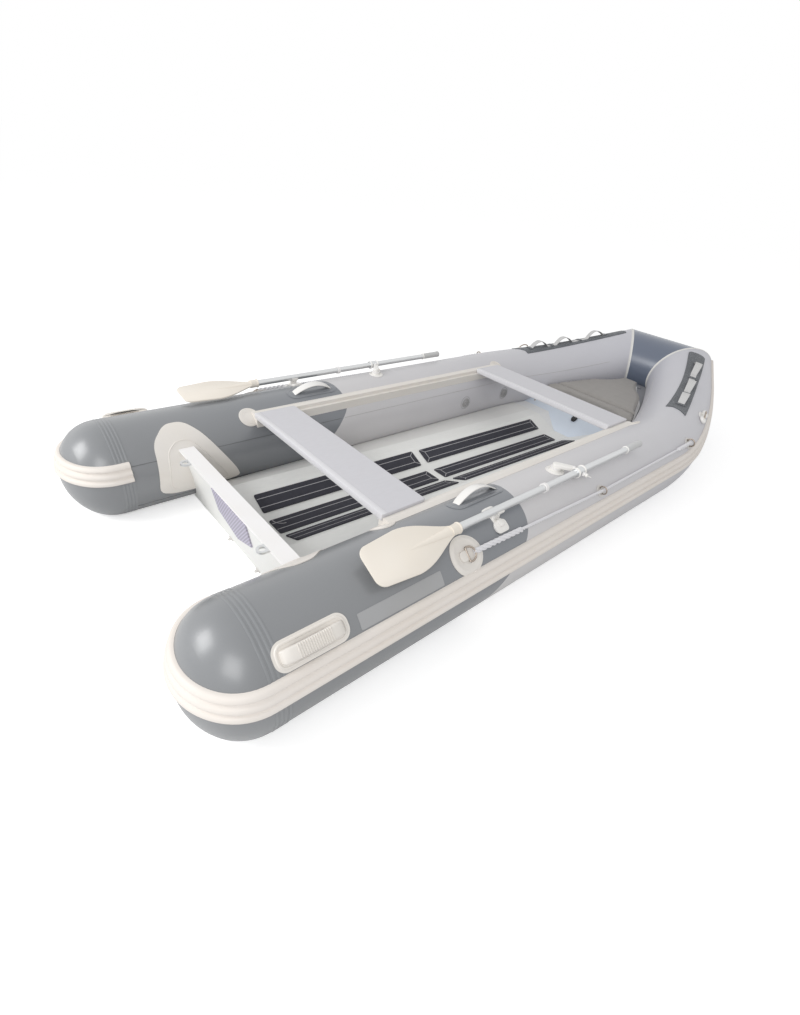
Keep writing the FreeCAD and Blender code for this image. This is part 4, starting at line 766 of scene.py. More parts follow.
    @staticmethod
    def mirrored(obj: bpy.types.Object, name: str) -> bpy.types.Object:
        """The starboard copy of a port piece."""
        made = Bench.copy(obj, name)
        made.data.transform(Matrix.Diagonal((1, -1, 1, 1)))
        Bench.pick_all(made)
        bpy.ops.mesh.flip_normals()
        Bench.done()
        return made

    @staticmethod
    def stadium(name: str, length: float, width: float, height: float, corner: float,
                steps: int = 8) -> bpy.types.Object:
        """A plate about the origin with round corners, standing from 0 to its height."""
        obj = Bench.box(name, (-length / 2, -width / 2, 0), (length / 2, width / 2, height))
        Bench.pick_all(obj)
        bpy.ops.mesh.select_mode(type="EDGE")
        bpy.ops.mesh.select_all(action="DESELECT")
        Bench.done()
        for edge in obj.data.edges:
            first, second = (obj.data.vertices[number].co for number in edge.vertices)
            edge.select = (first.xy - second.xy).length < 1e-7
        bpy.ops.object.mode_set(mode="EDIT")
        bpy.ops.mesh.bevel(offset=corner, segments=steps, affect="EDGES")
        Bench.done()
        return obj


@dataclass(frozen=True)
class TubePath:
    """Axis of the port tube: straight, then two circular bends, then straight to its mitre."""

    toe_x: float = 0.544
    corner: Place = (1.896, 0.221, 0.364)
    toe_angles: Pair = (14.0, 27.0)
    climb_angles: Pair = (3.0, 13.0)
    headings: tuple[Vector, Vector, Vector] = field(init=False)
    runs: tuple[tuple[Vector, Vector, Vector, float, float], ...] = field(init=False)

    def __post_init__(self) -> None:
        """Work out the bends from the headings and the corner."""
        headings = [Vector((1, 0, 0))]
        for toe, climb in zip(self.toe_angles, self.climb_angles):
            flat = math.cos(math.radians(climb))
            headings.append(Vector((flat * math.cos(math.radians(toe)), -flat * math.sin(math.radians(toe)),
                                    math.sin(math.radians(climb)))))
        first, second, third = headings
        start = Vector((self.toe_x, TUBE_SIDE, AXIS_HEIGHT))
        sums = Matrix((first + second, second + third, third)).transposed()
        reaches = sums.inverted() @ (Vector(self.corner) - start)
        runs = []
        for before, after, reach in ((first, second, reaches[0]), (second, third, reaches[1])):
            angle = before.angle(after)
            axis = before.cross(after).normalized()
            radius = reach / math.tan(angle / 2)
            runs.append((start, start + axis.cross(before) * radius, axis, angle, radius))
            start = start + (before + after) * reach
        runs.append((start, third, Vector(), reaches[2], 0.0))
        object.__setattr__(self, "headings", (first, second, third))
        object.__setattr__(self, "runs", tuple(runs))

    def mitre(self) -> Vector:
        """Direction square to the mitre where the port tube meets the bow tube."""
        return (self.headings[2] + Vector((0, -1, 0))).normalized()

    def frame(self, station: float) -> tuple[Vector, Vector, Vector, Vector]:
        """Axis point, forward, outboard and up at a station.

        Args:
            station: X on the straight stretch, and distance along the axis after it.

        Returns:
            The point and the three directions.
        """
        left = station - self.toe_x
        if left <= 0:
            point, tangent = Vector((station, TUBE_SIDE, AXIS_HEIGHT)), self.headings[0]
        else:
            point, tangent = self._bent(left)
        out = Vector((0, 0, 1)).cross(tangent).normalized()
        return point, tangent, out, tangent.cross(out)

    def _bent(self, left: float) -> tuple[Vector, Vector]:
        """Axis point and forward direction at a distance past the straight stretch."""
        for index, (start, centre, axis, angle, radius) in enumerate(self.runs[:2]):
            if left <= angle * radius:
                turn = Matrix.Rotation(left / radius, 3, axis)
                return centre + turn @ (start - centre), turn @ self.headings[index]
            left -= angle * radius
        start, heading = self.runs[2][:2]
        return start + heading * left, heading

    def station(self, x: float) -> float:
        """Station of the axis point at a given X."""
        return last_where(x, x + 1.0, lambda station: self.frame(station)[0].x < x)

    def point(self, station: float, angle: float, height: float) -> Vector:
        """Point outside the skin.

        Args:
            station: place along the tube.
            angle: degrees round it: 0 is outboard, 90 is the crown and 180 is inboard.
            height: distance out from the skin.

        Returns:
            The point in the boat's frame.
        """
        axis, _, out, up = self.frame(station)
        turn = math.radians(angle)
        return axis + (out * math.cos(turn) + up * math.sin(turn)) * (TUBE_RADIUS + height)

    def wrap(self, obj: bpy.types.Object, x: float, angle: float, lift: float = SKIN) -> bpy.types.Object:
        """Lay a piece that was modelled flat about the origin round the port tube.

        Args:
            obj: the piece: X runs along the tube, Y up round it towards the middle, and Z out of it.
            x: where its origin goes, along the boat.
            angle: where its origin goes, round the tube.
            lift: how far its Z of 0 is above the skin.

        Returns:
            The same piece.
        """
        anchor = self.station(x)
        for vertex in obj.data.vertices:
            along, across, height = vertex.co
            vertex.co = self.point(anchor + along, angle + math.degrees(across / TUBE_RADIUS),
                                   height + lift)
        obj.data.update()
        return obj


PATH = TubePath()


# Shapes


def extruded(name: str, outline: Outline, low: float, high: float, axis: int = 2) -> bpy.types.Object:
    """Solid with a flat outline.

    Args:
        name: the piece's name.
        outline: its corners, in order.
        low: where it starts along the axis.
        high: where it ends along the axis.
        axis: 1 where the outline is in X and Z, and 2 where it is in X and Y.

    Returns:
        The solid, with its faces outwards.
    """
    Bench.clear()
    bpy.ops.mesh.primitive_circle_add(vertices=len(outline), radius=1.0, fill_type="NGON")
    obj = Bench.named(name)
    for vertex, (u, v) in zip(obj.data.vertices, outline):
        vertex.co = (u, low, v) if axis == 1 else (u, v, low)
    Bench.pick_all(obj)
    move = (0, high - low, 0) if axis == 1 else (0, 0, high - low)
    bpy.ops.mesh.extrude_region_move(TRANSFORM_OT_translate={"value": move})
    return Bench.outward(obj)


def wrapped_pipe(name: str, corners: Sequence[Pair], radius: float, lift: float) -> bpy.types.Object:
    """A bead round a closed outline on the port tube.

    Args:
        name: the piece's name.
        corners: the outline's corners, each as X and degrees round the tube.
        radius: the bead's radius.
        lift: height of its middle above the skin.

    Returns:
        The bead.
    """
    points = [PATH.point(PATH.station(x), angle, lift) for x, angle in corners]
    return Bench.pipe(name, points, radius, closed=True)


def arc_points(radius: float, start: float, end: float, count: int) -> Outline:
    """Points on an arc about the origin, between two angles in degrees."""
    angles = [math.radians(start + (end - start) * index / (count - 1)) for index in range(count)]
    return [(radius * math.cos(angle), radius * math.sin(angle)) for angle in angles]


def rounded(outline: Sequence[Pair], rounds: int = 3, cut: float = 0.2) -> Outline:
    """A closed outline with its corners cut off again and again, until they are round."""
    for _ in range(rounds):
        made = []
        for (x0, y0), (x1, y1) in zip(outline, list(outline[1:]) + [outline[0]]):
            for share in (cut, 1 - cut):
                made.append((x0 * (1 - share) + x1 * share, y0 * (1 - share) + y1 * share))
        outline = made
    return list(outline)


def raised_rings(name: str, radii: Sequence[float], wire: float, height: float) -> bpy.types.Object:
    """Raised circles about the origin, for the face of a moulded disc."""
    return Bench.merged(name, [Bench.ring("circle", radius, wire, (0, 0, height), around=48, sides=8)
                               for radius in radii])


# Dressing


class Dresser:
    """Gives pieces the material of a slot and their body, and reports them."""

    def __init__(self, palette: Palette) -> None:
        """Keep the palette that finishes come from."""
        self.palette = palette
        self.count = 0

    def cad_nodes(self, frame: dict) -> None:
        """Give every CAD node the material of its slot."""
        slots = {row["node"]: row["material_slot"] for row in frame["record"]["subparts"]}
        for name, obj in frame["nodes"].items():
            material = self.palette.get(slots[name], OWN_FINISHES.get(name))
            for slot in obj.material_slots:
                slot.material = material
            LOG.info("node %s: %s", name, material.name)

    def add(self, obj: bpy.types.Object, slot: str, body: str = "boat", finish: Finish | None = None,
            replaces: Sequence[str] = (), angle: float = 40.0) -> None:
        """Finish one piece.

        Args:
            obj: the piece.
            slot: the record's material slot that it takes its finish from.
            body: the CAD body that it rides on.
            finish: a finish of its own, in place of the slot's.
            replaces: CAD nodes that it stands for.
            angle: edges sharper than this, in degrees, stay sharp.
        """
        obj.data.materials.clear()
        obj.data.materials.append(self.palette.get(slot, finish))
        Bench.smooth(obj, angle)
        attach(obj, body)
        if replaces:
            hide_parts(*replaces)
        self.count += 1
        LOG.info("piece %s on %s: %d faces", obj.name, body, len(obj.data.polygons))

    def add_pair(self, obj: bpy.types.Object, name: str, slot: str, body: Body = Body.BOAT,
                 finish: Finish | None = None, replaces: Sequence[str] = (), angle: float = 40.0,
                 stands_for: Sequence[str] | None = None) -> None:
        """Finish a port piece and its starboard copy.

        Args:
            obj: the port piece.
            name: the start of both names.
            slot: the record's material slot.
            body: the bodies that they ride on.
            finish: a finish of their own, in place of the slot's.
            replaces: CAD nodes that the port piece stands for.
            angle: edges sharper than this, in degrees, stay sharp.
            stands_for: CAD nodes that the starboard piece stands for, where they aren't the same.
        """
        other = Bench.mirrored(obj, name + "_starboard")
        Bench.renamed(obj, name + "_port")
        nodes = (replaces, replaces if stands_for is None else stands_for)
        for piece, rides, hidden in zip((obj, other), body.value, nodes):
            self.add(piece, slot, rides, finish, hidden, angle)


# Pieces on the tubes


@dataclass
class Seams:
    """Raised seam bands of the tubes: round the noses and along the mitres of the bow."""

    nose_bands: tuple[float, ...] = (-0.244, -0.258, -0.272, -0.286)
    band_width: float = 0.008
    band_height: float = 0.0011
    tape_width: float = 0.009
    tape_height: float = 0.0018
    tape_reach: float = 0.6
    sides: int = 160

    def nose_ring(self, x: float) -> bpy.types.Object:
        """A raised band round the port tube."""
        centre = Vector((x, TUBE_SIDE, AXIS_HEIGHT))
        half = Vector((self.band_width / 2, 0, 0))
        band = Bench.drum("band", centre - half, centre + half, TUBE_RADIUS - 0.001, self.sides, caps=False)
        Bench.finish_with(Bench.outward(band), "SOLIDIFY", thickness=self.band_height + 0.001, offset=1.0)
        return Bench.soften(band, 0.0009)

    def mitre_tape(self, axis: Vector, toward: Vector, name: str) -> bpy.types.Object:
        """A narrow tape along the port mitre, on one of the two tubes that meet in it.

        Args:
            axis: the direction of the tube that the tape lies on.
            toward: the same direction, pointed away from the mitre.
            name: the piece's name.

        Returns:
            The tape.
        """
        corner = Vector(PATH.corner)
        normal = PATH.mitre()
        reach = axis * self.tape_reach
        radius = TUBE_RADIUS - 0.0005
        tape = Bench.drum(name, corner - reach, corner + reach, radius, self.sides, caps=False)
        Bench.cut(tape, corner, normal, keep_front=normal.dot(toward) > 0)
        away = toward * (self.tape_width / abs(normal.dot(toward)))
        Bench.cut(tape, corner + away, normal, keep_front=normal.dot(toward) < 0)
        return Bench.finish_with(Bench.outward(tape), "SOLIDIFY", thickness=self.tape_height, offset=1.0)

    def build(self, dresser: Dresser) -> None:
        """Make the bands and tapes."""
        bands = [self.nose_ring(aft(distance)) for distance in self.nose_bands]
        worn = CoatedFabric("worn_seam", shade(SLATE, 1.12), 0.3, 0.30)
        dresser.add_pair(Bench.merged("nose_seams", bands), "nose_seams", "dark_fabric", finish=worn)
        side = self.mitre_tape(PATH.headings[2], -PATH.headings[2], "tape")
        bow = self.mitre_tape(Vector((0, 1, 0)), Vector((0, -1, 0)), "bow_tape")
        pale = MouldedRubber("seam_tape", (0.72, 0.72, 0.71), 0.4)
        dresser.add_pair(Bench.merged("bow_seams", [side, bow]), "bow_seams", "pale_fabric", finish=pale)


@dataclass
class SternHandle:
    """Moulded grab handle: a double-edged patch, two bulky ends and a ribbed grip."""

    x: float = aft(-0.142)
    angle: float = 43.0
    length: float = 0.240
    width: float = 0.088
    rib_count: int = 15
    rib_reach: float = 0.052
    grip_height: float = 0.033

    def plate(self) -> bpy.types.Object:
        """The patch with its raised inner field."""
        plate = Bench.stadium("plate", self.length, self.width, 0.003, 0.036, 10)
        steps = ((0.007, 0.0), (0.003, 0.0035), (0.004, 0.0), (0.002, -0.002))
        return Bench.sliced(Bench.stepped(plate, steps))

    def grip(self) -> bpy.types.Object:
        """The bar that stands on its two bulky ends."""
        reach = self.length / 2 - 0.018
        profile = [(-reach, 0.0), (-reach + 0.006, 0.022), (-reach + 0.028, 0.031), (-0.045, 0.030),
                   (0.045, 0.030), (reach - 0.028, 0.031), (reach - 0.006, 0.022), (reach, 0.0)]
        inner = [(0.068, 0.0), (0.058, 0.013), (0.030, 0.0175), (-0.030, 0.0175), (-0.058, 0.013),
                 (-0.068, 0.0)]
        return Bench.soften(extruded("grip", profile + inner, -0.019, 0.019, axis=1), 0.0065, 3, 50)

    def ribs(self) -> bpy.types.Object:
        """Ribs across the top of the grip."""
        ribs = []
        for index in range(self.rib_count):
            x = self.rib_reach * (2 * index / (self.rib_count - 1) - 1)
            rib = Bench.box("rib", (x - 0.0016, -0.0175, 0.026), (x + 0.0016, 0.0175, self.grip_height))
            ribs.append(Bench.soften(rib, 0.0008, 1))
        return Bench.merged("ribs", ribs)

    def build(self, dresser: Dresser) -> None:
        """Make both handles."""
        handle = Bench.merged("handle", [self.plate(), self.grip(), self.ribs()])
        PATH.wrap(handle, self.x, self.angle)
        dresser.add_pair(handle, "stern_grip", "moulded_rubber", replaces=("stern_handles",))


@dataclass
class CarryHandle:
    """Eyebrow-shaped carry strap on two moulded oval bases."""

    x: float = aft(0.738)
    angle: float = 103.0
    length: float = 0.226
    height: float = 0.042
    width: float = 0.034
    base_rise: float = 0.002
    base_steps: tuple[Pair, ...] = ((0.006, 0.0), (0.0015, 0.001), (0.004, 0.0), (0.0015, -0.001),
                                    (0.005, 0.0), (0.0015, 0.001))

    def base(self) -> bpy.types.Object:
        """The dark moulded patch with its stepped outlines."""
        plate = Bench.stadium("plate", self.length + 0.070, 0.082, 0.0018, 0.040, 12)
        return Bench.sliced(Bench.stepped(plate, self.base_steps))

    def band(self) -> bpy.types.Object:
        """The arched strap, wider at its feet."""
        outer, inner = [], []
        for index in range(21):
            share = index / 20
            x = (share - 0.5) * self.length
            z = self.height * math.sin(math.pi * share) ** 0.8
            outer.append((x, z))
            inner.append((x * 0.965, max(z - 0.0045, 0.0)))
        band = extruded("band", outer + inner[-2:0:-1], -self.width / 2, self.width / 2, axis=1)
        return Bench.soften(band, 0.0012, 2, 50)

    def build(self, dresser: Dresser) -> None:
        """Make both handles."""
        base = PATH.wrap(self.base(), self.x, self.angle)
        dresser.add_pair(base, "carry_base", "dark_fabric")
        band = PATH.wrap(self.band(), self.x, self.angle, SKIN + self.base_rise)
        dresser.add_pair(band, "carry_strap", "webbing", finish=FITTING, replaces=("carry_handles",))


@dataclass
class TubeSeams:
    """Lengthwise lap seams on the side tubes, as thin raised beads coloured darker as painted shadow of each
    lap's edge, and the bare strip where a name would go.
    """

    angles: tuple[float, ...] = (156.0, 214.0, -38.0)
    stretches: tuple[Pair, ...] = ((-1.880, -0.800), (-0.780, 1.640))
    step: float = 0.06
    radius: float = 0.0013
    strip_x: float = aft(0.186)
    strip_angle: float = 38.8
    strip_size: Pair = (0.345, 0.052)

    def bead(self, angle: float, ends: Pair) -> bpy.types.Object:
        """One seam along the port tube."""
        first, last = (PATH.station(x) for x in ends)
        count = round((last - first) / self.step)
        points = [PATH.point(first + (last - first) * index / count, angle, self.radius * 0.1)
                  for index in range(count + 1)]
        return Bench.pipe("bead", points, self.radius, sides=1, steps=2)

    def build(self, dresser: Dresser) -> None:
        """Make the seams and the bare strip."""
        # The beads' darker colours are painted shadow of each lap's edge, on the dark and on the pale cloth.
        seam_shadows = (CoatedFabric("seam_on_dark", shade(SLATE, 0.55), 0.4, 0.1),
                 CoatedFabric("seam_on_pale", shade(STONE, 0.72), 0.4, 0.1))
        for ends, slot, tone in zip(self.stretches, ("dark_fabric", "pale_fabric"), seam_shadows):
            beads = [self.bead(angle, ends) for angle in self.angles]
            dresser.add_pair(Bench.merged("lap", beads), tone.name, slot, finish=tone)
        strip = Bench.stadium("strip", *self.strip_size, 0.0008, 0.004, 3)
        Bench.sliced(strip, 0, 0.03)
        Bench.sliced(strip, 1, 0.006)
        PATH.wrap(strip, self.strip_x, self.strip_angle)
        film = MouldedRubber("strip_film", (0.365, 0.372, 0.385), 0.35)
        dresser.add_pair(strip, "name_strip", "dark_fabric", finish=film)


@dataclass
class RubStrake:
    """Three-ribbed rubber band round the boat: along the tubes, round the noses and across the bow."""

    bottom: float = 0.029
    top: float = 0.109
    web: float = 0.0060
    rib: float = 0.0135
    ribs: int = 3
    groove: float = 0.0060
    rib_shape: tuple[Pair, ...] = ((0.0, 0.0), (0.08, 0.55), (0.25, 0.92), (0.5, 1.0), (0.75, 0.92),
                                   (0.92, 0.55), (1.0, 0.0))
    inner_reach: float = 0.048
    nose_length: float = 0.187
    shoulder: float = 0.168
    nose_steps: int = 36
    straight_steps: int = 26
    bend_step: float = 0.04

    def profile(self) -> list[Pair]:
        """The cross-section, as levels above the axis and heights off the skin, in order round it."""
        width = (self.top - self.bottom - self.groove * (self.ribs - 1)) / self.ribs
        points = [(self.bottom, SKIN)]
        for index in range(self.ribs):
            low = self.bottom + index * (width + self.groove)
            for share, rise in self.rib_shape:
                points.append((low + width * share, self.web + (self.rib - self.web) * rise))
        points.append((self.top, SKIN))
        for share in (0.75, 0.5, 0.25):
            points.append((self.bottom + (self.top - self.bottom) * share, SKIN))
        return points

    def on_tube(self, station: float, level: float, height: float) -> Vector:
        """Point on the outboard side of the port tube."""
        return PATH.point(station, math.degrees(math.asin(level / (TUBE_RADIUS + height))), height)

    def in_nose(self, back: float, out: float, height: float) -> bool:
        """Whether a point is inside the nose when it is grown by a height.

        Args:
            back: how far the point is behind the nose's seam.
            out: how far it is from the tube's axis.
            height: how much the nose is grown.

        Returns:
            True where it is inside.
        """
        crown = ((TUBE_RADIUS ** 2 + self.nose_length ** 2 - 2 * TUBE_RADIUS * self.shoulder)
                 / (2 * (self.nose_length - self.shoulder)))
        ahead = crown - self.nose_length
        lift = TUBE_RADIUS - self.shoulder
        if math.atan2(out, back + ahead) < math.atan2(lift, ahead):
            return math.hypot(back + ahead, out) < crown + height
        return math.hypot(back, out - lift) < self.shoulder + height

    def on_nose(self, turn: float, level: float, height: float) -> Vector:
        """Point on the port nose, with 0 for outboard and half a turn for inboard."""
        back, across = math.sin(turn), math.cos(turn)
        reach = last_where(0.0, 0.4, lambda far: self.in_nose(far * back, math.hypot(far * across, level),
                                                              height))
        return Vector((SEAM_X - reach * back, TUBE_SIDE + reach * across, AXIS_HEIGHT + level))

    def rings(self) -> list[list[Vector]]:
        """The cross-section at each step from its inboard end to the port mitre."""
        profile = self.profile()
        inboard = [self.on_nose(math.pi, *point) for point in profile]
        rings = []
        for share in (1.0, 0.5):
            rings.append([point + Vector((self.inner_reach * share, 0, 0)) for point in inboard])
        for index in range(self.nose_steps + 1):
            turn = math.pi * (1 - index / self.nose_steps)
            rings.append([self.on_nose(turn, *point) for point in profile])
        for index in range(1, self.straight_steps + 1):
            station = SEAM_X + (PATH.toe_x - SEAM_X) * index / self.straight_steps
            rings.append([self.on_tube(station, *point) for point in profile])
        normal, corner, heading = PATH.mitre(), Vector(PATH.corner), PATH.headings[2]
        station = PATH.toe_x
        while True:
            station += self.bend_step
            ring = [self.on_tube(station, *point) for point in profile]
            if max((point - corner).dot(normal) for point in ring) > -self.bend_step:
                break
            rings.append(ring)
        slope = heading.dot(normal)
        rings.append([point - heading * ((point - corner).dot(normal) / slope) for point in rings[-1]])
        return rings

    def build(self, dresser: Dresser) -> None:
        """Make both sides and the stretch across the bow."""
        rings = self.rings()
        dresser.add_pair(Bench.swept("strake", rings), "strake", "strake_rubber",
                         replaces=("rub_strake_port",), stands_for=("rub_strake_starboard",), angle=50.0)
        across = rings[-1]
        far = [Vector((point.x, -point.y, point.z)) for point in across]
        middle = [Vector((point.x, 0, point.z)) for point in across]
        dresser.add(Bench.swept("strake_bow", [across, middle, far]), "strake_rubber",
                    replaces=("rub_strake_bow",), angle=50.0)


@dataclass
class BowPatch:
    """Pinched dark patch on each bow shoulder, with one strap of webbing raised into three loops."""

    aft_x: float = from_bow(1.172)
    fore_x: float = from_bow(0.252)
    half_width: float = 0.064
    waist: float = 0.051
    slant: float = 25.0
    loops: tuple[float, ...] = (from_bow(0.990), from_bow(0.760), from_bow(0.480))
    loop_half: float = 0.080
    loop_height: float = 0.046
    strap_width: float = 0.038
    strap_thickness: float = 0.0028
    strap_shift: float = 0.006
    side_steps: int = 16
    lean: float = 13.0

    def turn(self, station: float) -> float:
        """Angle round the tube of the patch's middle, which leans outboard towards the bow."""
        start, end = PATH.station(self.aft_x), PATH.station(self.fore_x)
        return 90 - self.lean * ((station - start) / (end - start)) ** 2

    def laid(self, obj: bpy.types.Object, start: float, lift: float, shift: float = 0.0) -> bpy.types.Object:
        """Lay a flat piece along the patch's middle.

        Args:
            obj: the piece.
            start: station where its origin goes.
            lift: how far its Z of 0 is above the skin.
            shift: how far it lies outboard of the middle.

        Returns:
            The same piece.
        """
        for vertex in obj.data.vertices:
            along, across, height = vertex.co
            angle = self.turn(start + along) + math.degrees((across - shift) / TUBE_RADIUS)
            vertex.co = PATH.point(start + along, angle, height + lift)
        return obj

    def outline(self, length: float) -> Outline:
        """The patch laid flat, with X from its aft end and Y towards the middle of the boat."""
        skew = math.tan(math.radians(self.slant)) * self.half_width
        side = []
        for index in range(self.side_steps + 1):
            share = index / self.side_steps
            half = self.waist + (self.half_width - self.waist) * abs(2 * share - 1) ** 1.6
            side.append((share, half))
        inboard = [(skew + (length - skew) * share, half) for share, half in side]
        outboard = [(-skew + (length + skew) * share, -half) for share, half in reversed(side)]
        hollow = [(0.018 - skew * 0.4, -0.022), (0.022 + skew * 0.3, 0.022)]
        return inboard[:-1] + [(length - 0.012, inboard[-1][1] - 0.002), (length, self.half_width - 0.016),
                               (length, 0.016 - self.half_width),
                               (length - 0.012, 0.002 - self.half_width)] + outboard[1:] + hollow

    def plate(self) -> bpy.types.Object:
        """The patch on the port tube."""
        start, end = PATH.station(self.aft_x), PATH.station(self.fore_x)
        plate = extruded("patch", self.outline(end - start), 0.0, 0.003)
        return self.laid(Bench.sliced(Bench.sliced(plate, 0, 0.03), 1, 0.010), start, SKIN)

    def strap(self) -> bpy.types.Object:
        """The webbing, which rises into loops and lies flat between them."""
        centres = [PATH.station(x) for x in self.loops]
        reach = self.loop_half + 0.012
        first, last = centres[0] - reach, centres[-1] + reach
        start = (first + last) / 2
        strap = Bench.strip("strap", last - first, self.strap_width, 0.006, 0.012)
        for vertex in strap.data.vertices:
            gap = min(abs(start + vertex.co.x - centre) for centre in centres)
            rise = math.cos(math.pi / 2 * min(gap / self.loop_half, 1.0)) ** 0.85
            vertex.co.z = 0.0006 + self.loop_height * rise
        self.laid(strap, start, PATCH, self.strap_shift)
        return Bench.finish_with(strap, "SOLIDIFY", thickness=self.strap_thickness, offset=1.0)

    def anchors(self) -> bpy.types.Object:
        """Dark stitched tapes that hold the strap down between its loops."""
        centres = [PATH.station(x) for x in self.loops]
        places = [centres[0] - self.loop_half - 0.010]
        places += [(a + b) / 2 for a, b in zip(centres, centres[1:])]
        places.append(centres[-1] + self.loop_half + 0.010)
        made = []
        for place in places:
            tape = Bench.stadium("tape", 0.026, 0.056, 0.0024, 0.003, 2)
            Bench.sliced(Bench.stepped(tape, ((0.003, 0.0), (0.001, -0.0008))), 1, 0.009)
            made.append(self.laid(tape, place, PATCH + self.strap_thickness, self.strap_shift))
        return Bench.merged("anchors", made)

    def build(self, dresser: Dresser) -> None:
        """Make both sides."""
        dresser.add_pair(self.plate(), "shoulder_patch", "dark_fabric", finish=COARSE_CLOTH,
                         replaces=("bow_patches",))
        dresser.add_pair(self.strap(), "loop_strap", "webbing", replaces=("bow_loops",))
        dresser.add_pair(self.anchors(), "strap_anchors", "dark_fabric", finish=COARSE_CLOTH)


@dataclass
class LineEye:
    """Patch with a ring that the grab line is made fast to or runs through."""

    name: str
    x: float
    angle: float
    radius: float
    ring: Ring
    ring_radius: float = 0.017
    wire: float = 0.0028
    bar_x: float = -0.006

    def disc(self) -> bpy.types.Object:
        """The round patch with its moulded ridges."""
        disc = Bench.drum("disc", (0, 0, 0), (0, 0, 0.003), self.radius, 48)
        steps = ((self.radius * 0.10, 0.0), (0.0015, 0.0012), (self.radius * 0.14, 0.0), (0.0015, -0.0012))
        return Bench.sliced(Bench.stepped(disc, steps))

    def lug(self) -> bpy.types.Object:
        """The tab that holds the ring down."""
        size = min(self.radius * 0.9, 0.046)
        lug = Bench.soften(Bench.stadium("lug", size, size * 0.8, 0.007, size * 0.3, 4), 0.0025)
        return Bench.shifted(lug, x=-size * 0.3, z=0.002)

    def metal(self) -> bpy.types.Object:
        """The ring, laid on the patch or stood across the line."""
        if self.ring is Ring.STANDING:
            return Bench.ring("ring", self.ring_radius, self.wire, (0, 0, 0.014), (0, 90, 0))
        radius, wire = self.ring_radius * 1.5, self.wire * 1.25
        ring = Bench.ring("ring", radius, wire)
        Bench.cut(ring, (self.bar_x, 0, 0), (1, 0, 0), keep_front=True)
        half = math.sqrt(radius ** 2 - self.bar_x ** 2)
        bar = Bench.drum("bar", (self.bar_x, -half, 0), (self.bar_x, half, 0), wire, 12)
        ring = Bench.merged("ring", [ring, bar])
        tilt = Matrix.Rotation(math.radians(-16), 4, "Y")
        return Bench.moved(ring, Matrix.Translation((0.004, 0, 0.011)) @ tilt)

    def build(self, dresser: Dresser) -> None:
        """Make both sides."""
        base = Bench.merged("base", [self.disc(), self.lug()])
        PATH.wrap(base, self.x, self.angle)
        round_patch = self.radius > 0.05
        dresser.add_pair(base, self.name + "_base", "moulded_rubber",
                         finish=None if round_patch else PALE_MOULDING, replaces=("line_eyes",))
        metal = PATH.wrap(self.metal(), self.x, self.angle)
        dresser.add_pair(metal, self.name + "_ring", "moulded_rubber", finish=METAL)


@dataclass
class ShoulderFitting:
    """Two moulded lobes at the shoulder of the bow, with a shackle bowed between them."""

    x: float = from_bow(1.011)
    angle: float = 45.0
    spread: float = 0.046

    def lobe(self, along: float) -> bpy.types.Object:
        """One domed lobe."""
        lobe = Bench.stadium("lobe", 0.050, 0.044, 0.020, 0.018, 6)
        return Bench.shifted(Bench.soften(lobe, 0.0075, 4), x=along)

    def build(self, dresser: Dresser) -> None:
        """Make both sides."""
        plate = Bench.sliced(Bench.drum("plate", (0, 0, 0), (0, 0, 0.003), 0.040, 40))
        body = Bench.merged("body", [plate, self.lobe(-self.spread), self.lobe(self.spread)])
        PATH.wrap(body, self.x, self.angle)
        dresser.add_pair(body, "shoulder_fitting", "moulded_rubber", finish=FITTING, replaces=("line_eyes",))
        arc = arc_points(self.spread, 180, 0, 9)
        bow = [Vector((x, rise * 0.6 - 0.006, 0.012 + rise * 0.45)) for x, rise in arc]
        shackle = Bench.pipe("shackle", bow, 0.0042)
        PATH.wrap(shackle, self.x, self.angle)
        dresser.add_pair(shackle, "shoulder_shackle", "moulded_rubber", finish=METAL)


@dataclass
class GrabLine:
    """Taut three-strand line along the side, with a thick spliced end at each last ring."""

    aft_x: float = aft(0.494)
    middle_x: float = aft(1.380)
    fore_x: float = from_bow(1.408)
    angles: tuple[float, float, float] = (47.0, 41.0, 40.0)
    height: float = 0.0165
    radius: float = 0.0066
    splice_radius: float = 0.0115
    aft_splice: float = 0.260
    fore_splice: float = 0.170
    points_per_turn: int = 8
    lay: float = 7.0
    strand_share: float = 0.52

    def twisted(self, name: str, start: Vector, end: Vector, radius: float) -> bpy.types.Object:
        """Three strands twisted about a straight line."""
        axis = end - start
        forward = axis.normalized()
        side = forward.cross(Vector((0, 0, 1))).normalized()
        up = side.cross(forward)
        turns = axis.length / (radius * self.lay)
        reach = radius * self.strand_share
        count = round(turns * self.points_per_turn)
        strands = []
        for strand in range(3):
            points = []
            for index in range(count + 1):
                share = index / count
                turn = 2 * math.pi * (turns * share + strand / 3)
                points.append(start + axis * share + (side * math.cos(turn) + up * math.sin(turn)) * reach)
            strands.append(Bench.pipe(name, points, reach, sides=1, steps=2))
        return Bench.merged(name, strands)

    def build(self, dresser: Dresser) -> None:
        """Make both sides."""
        places = [PATH.point(PATH.station(x), angle, self.height)
                  for x, angle in zip((self.aft_x + 0.026, self.middle_x, self.fore_x - 0.004), self.angles)]
        aft_end, middle, fore_end = places
        aft_way = (middle - aft_end).normalized()
        fore_way = (middle - fore_end).normalized()
        line = [self.twisted("line", aft_end + aft_way * 0.02, middle, self.radius),
                self.twisted("line", middle, fore_end + fore_way * 0.02, self.radius),
                self.twisted("splice", aft_end, aft_end + aft_way * self.aft_splice, self.splice_radius),
                self.twisted("splice", fore_end, fore_end + fore_way * self.fore_splice, self.splice_radius)]
        dresser.add_pair(Bench.merged("line", line), "grab_line", "webbing", finish=ROPE)


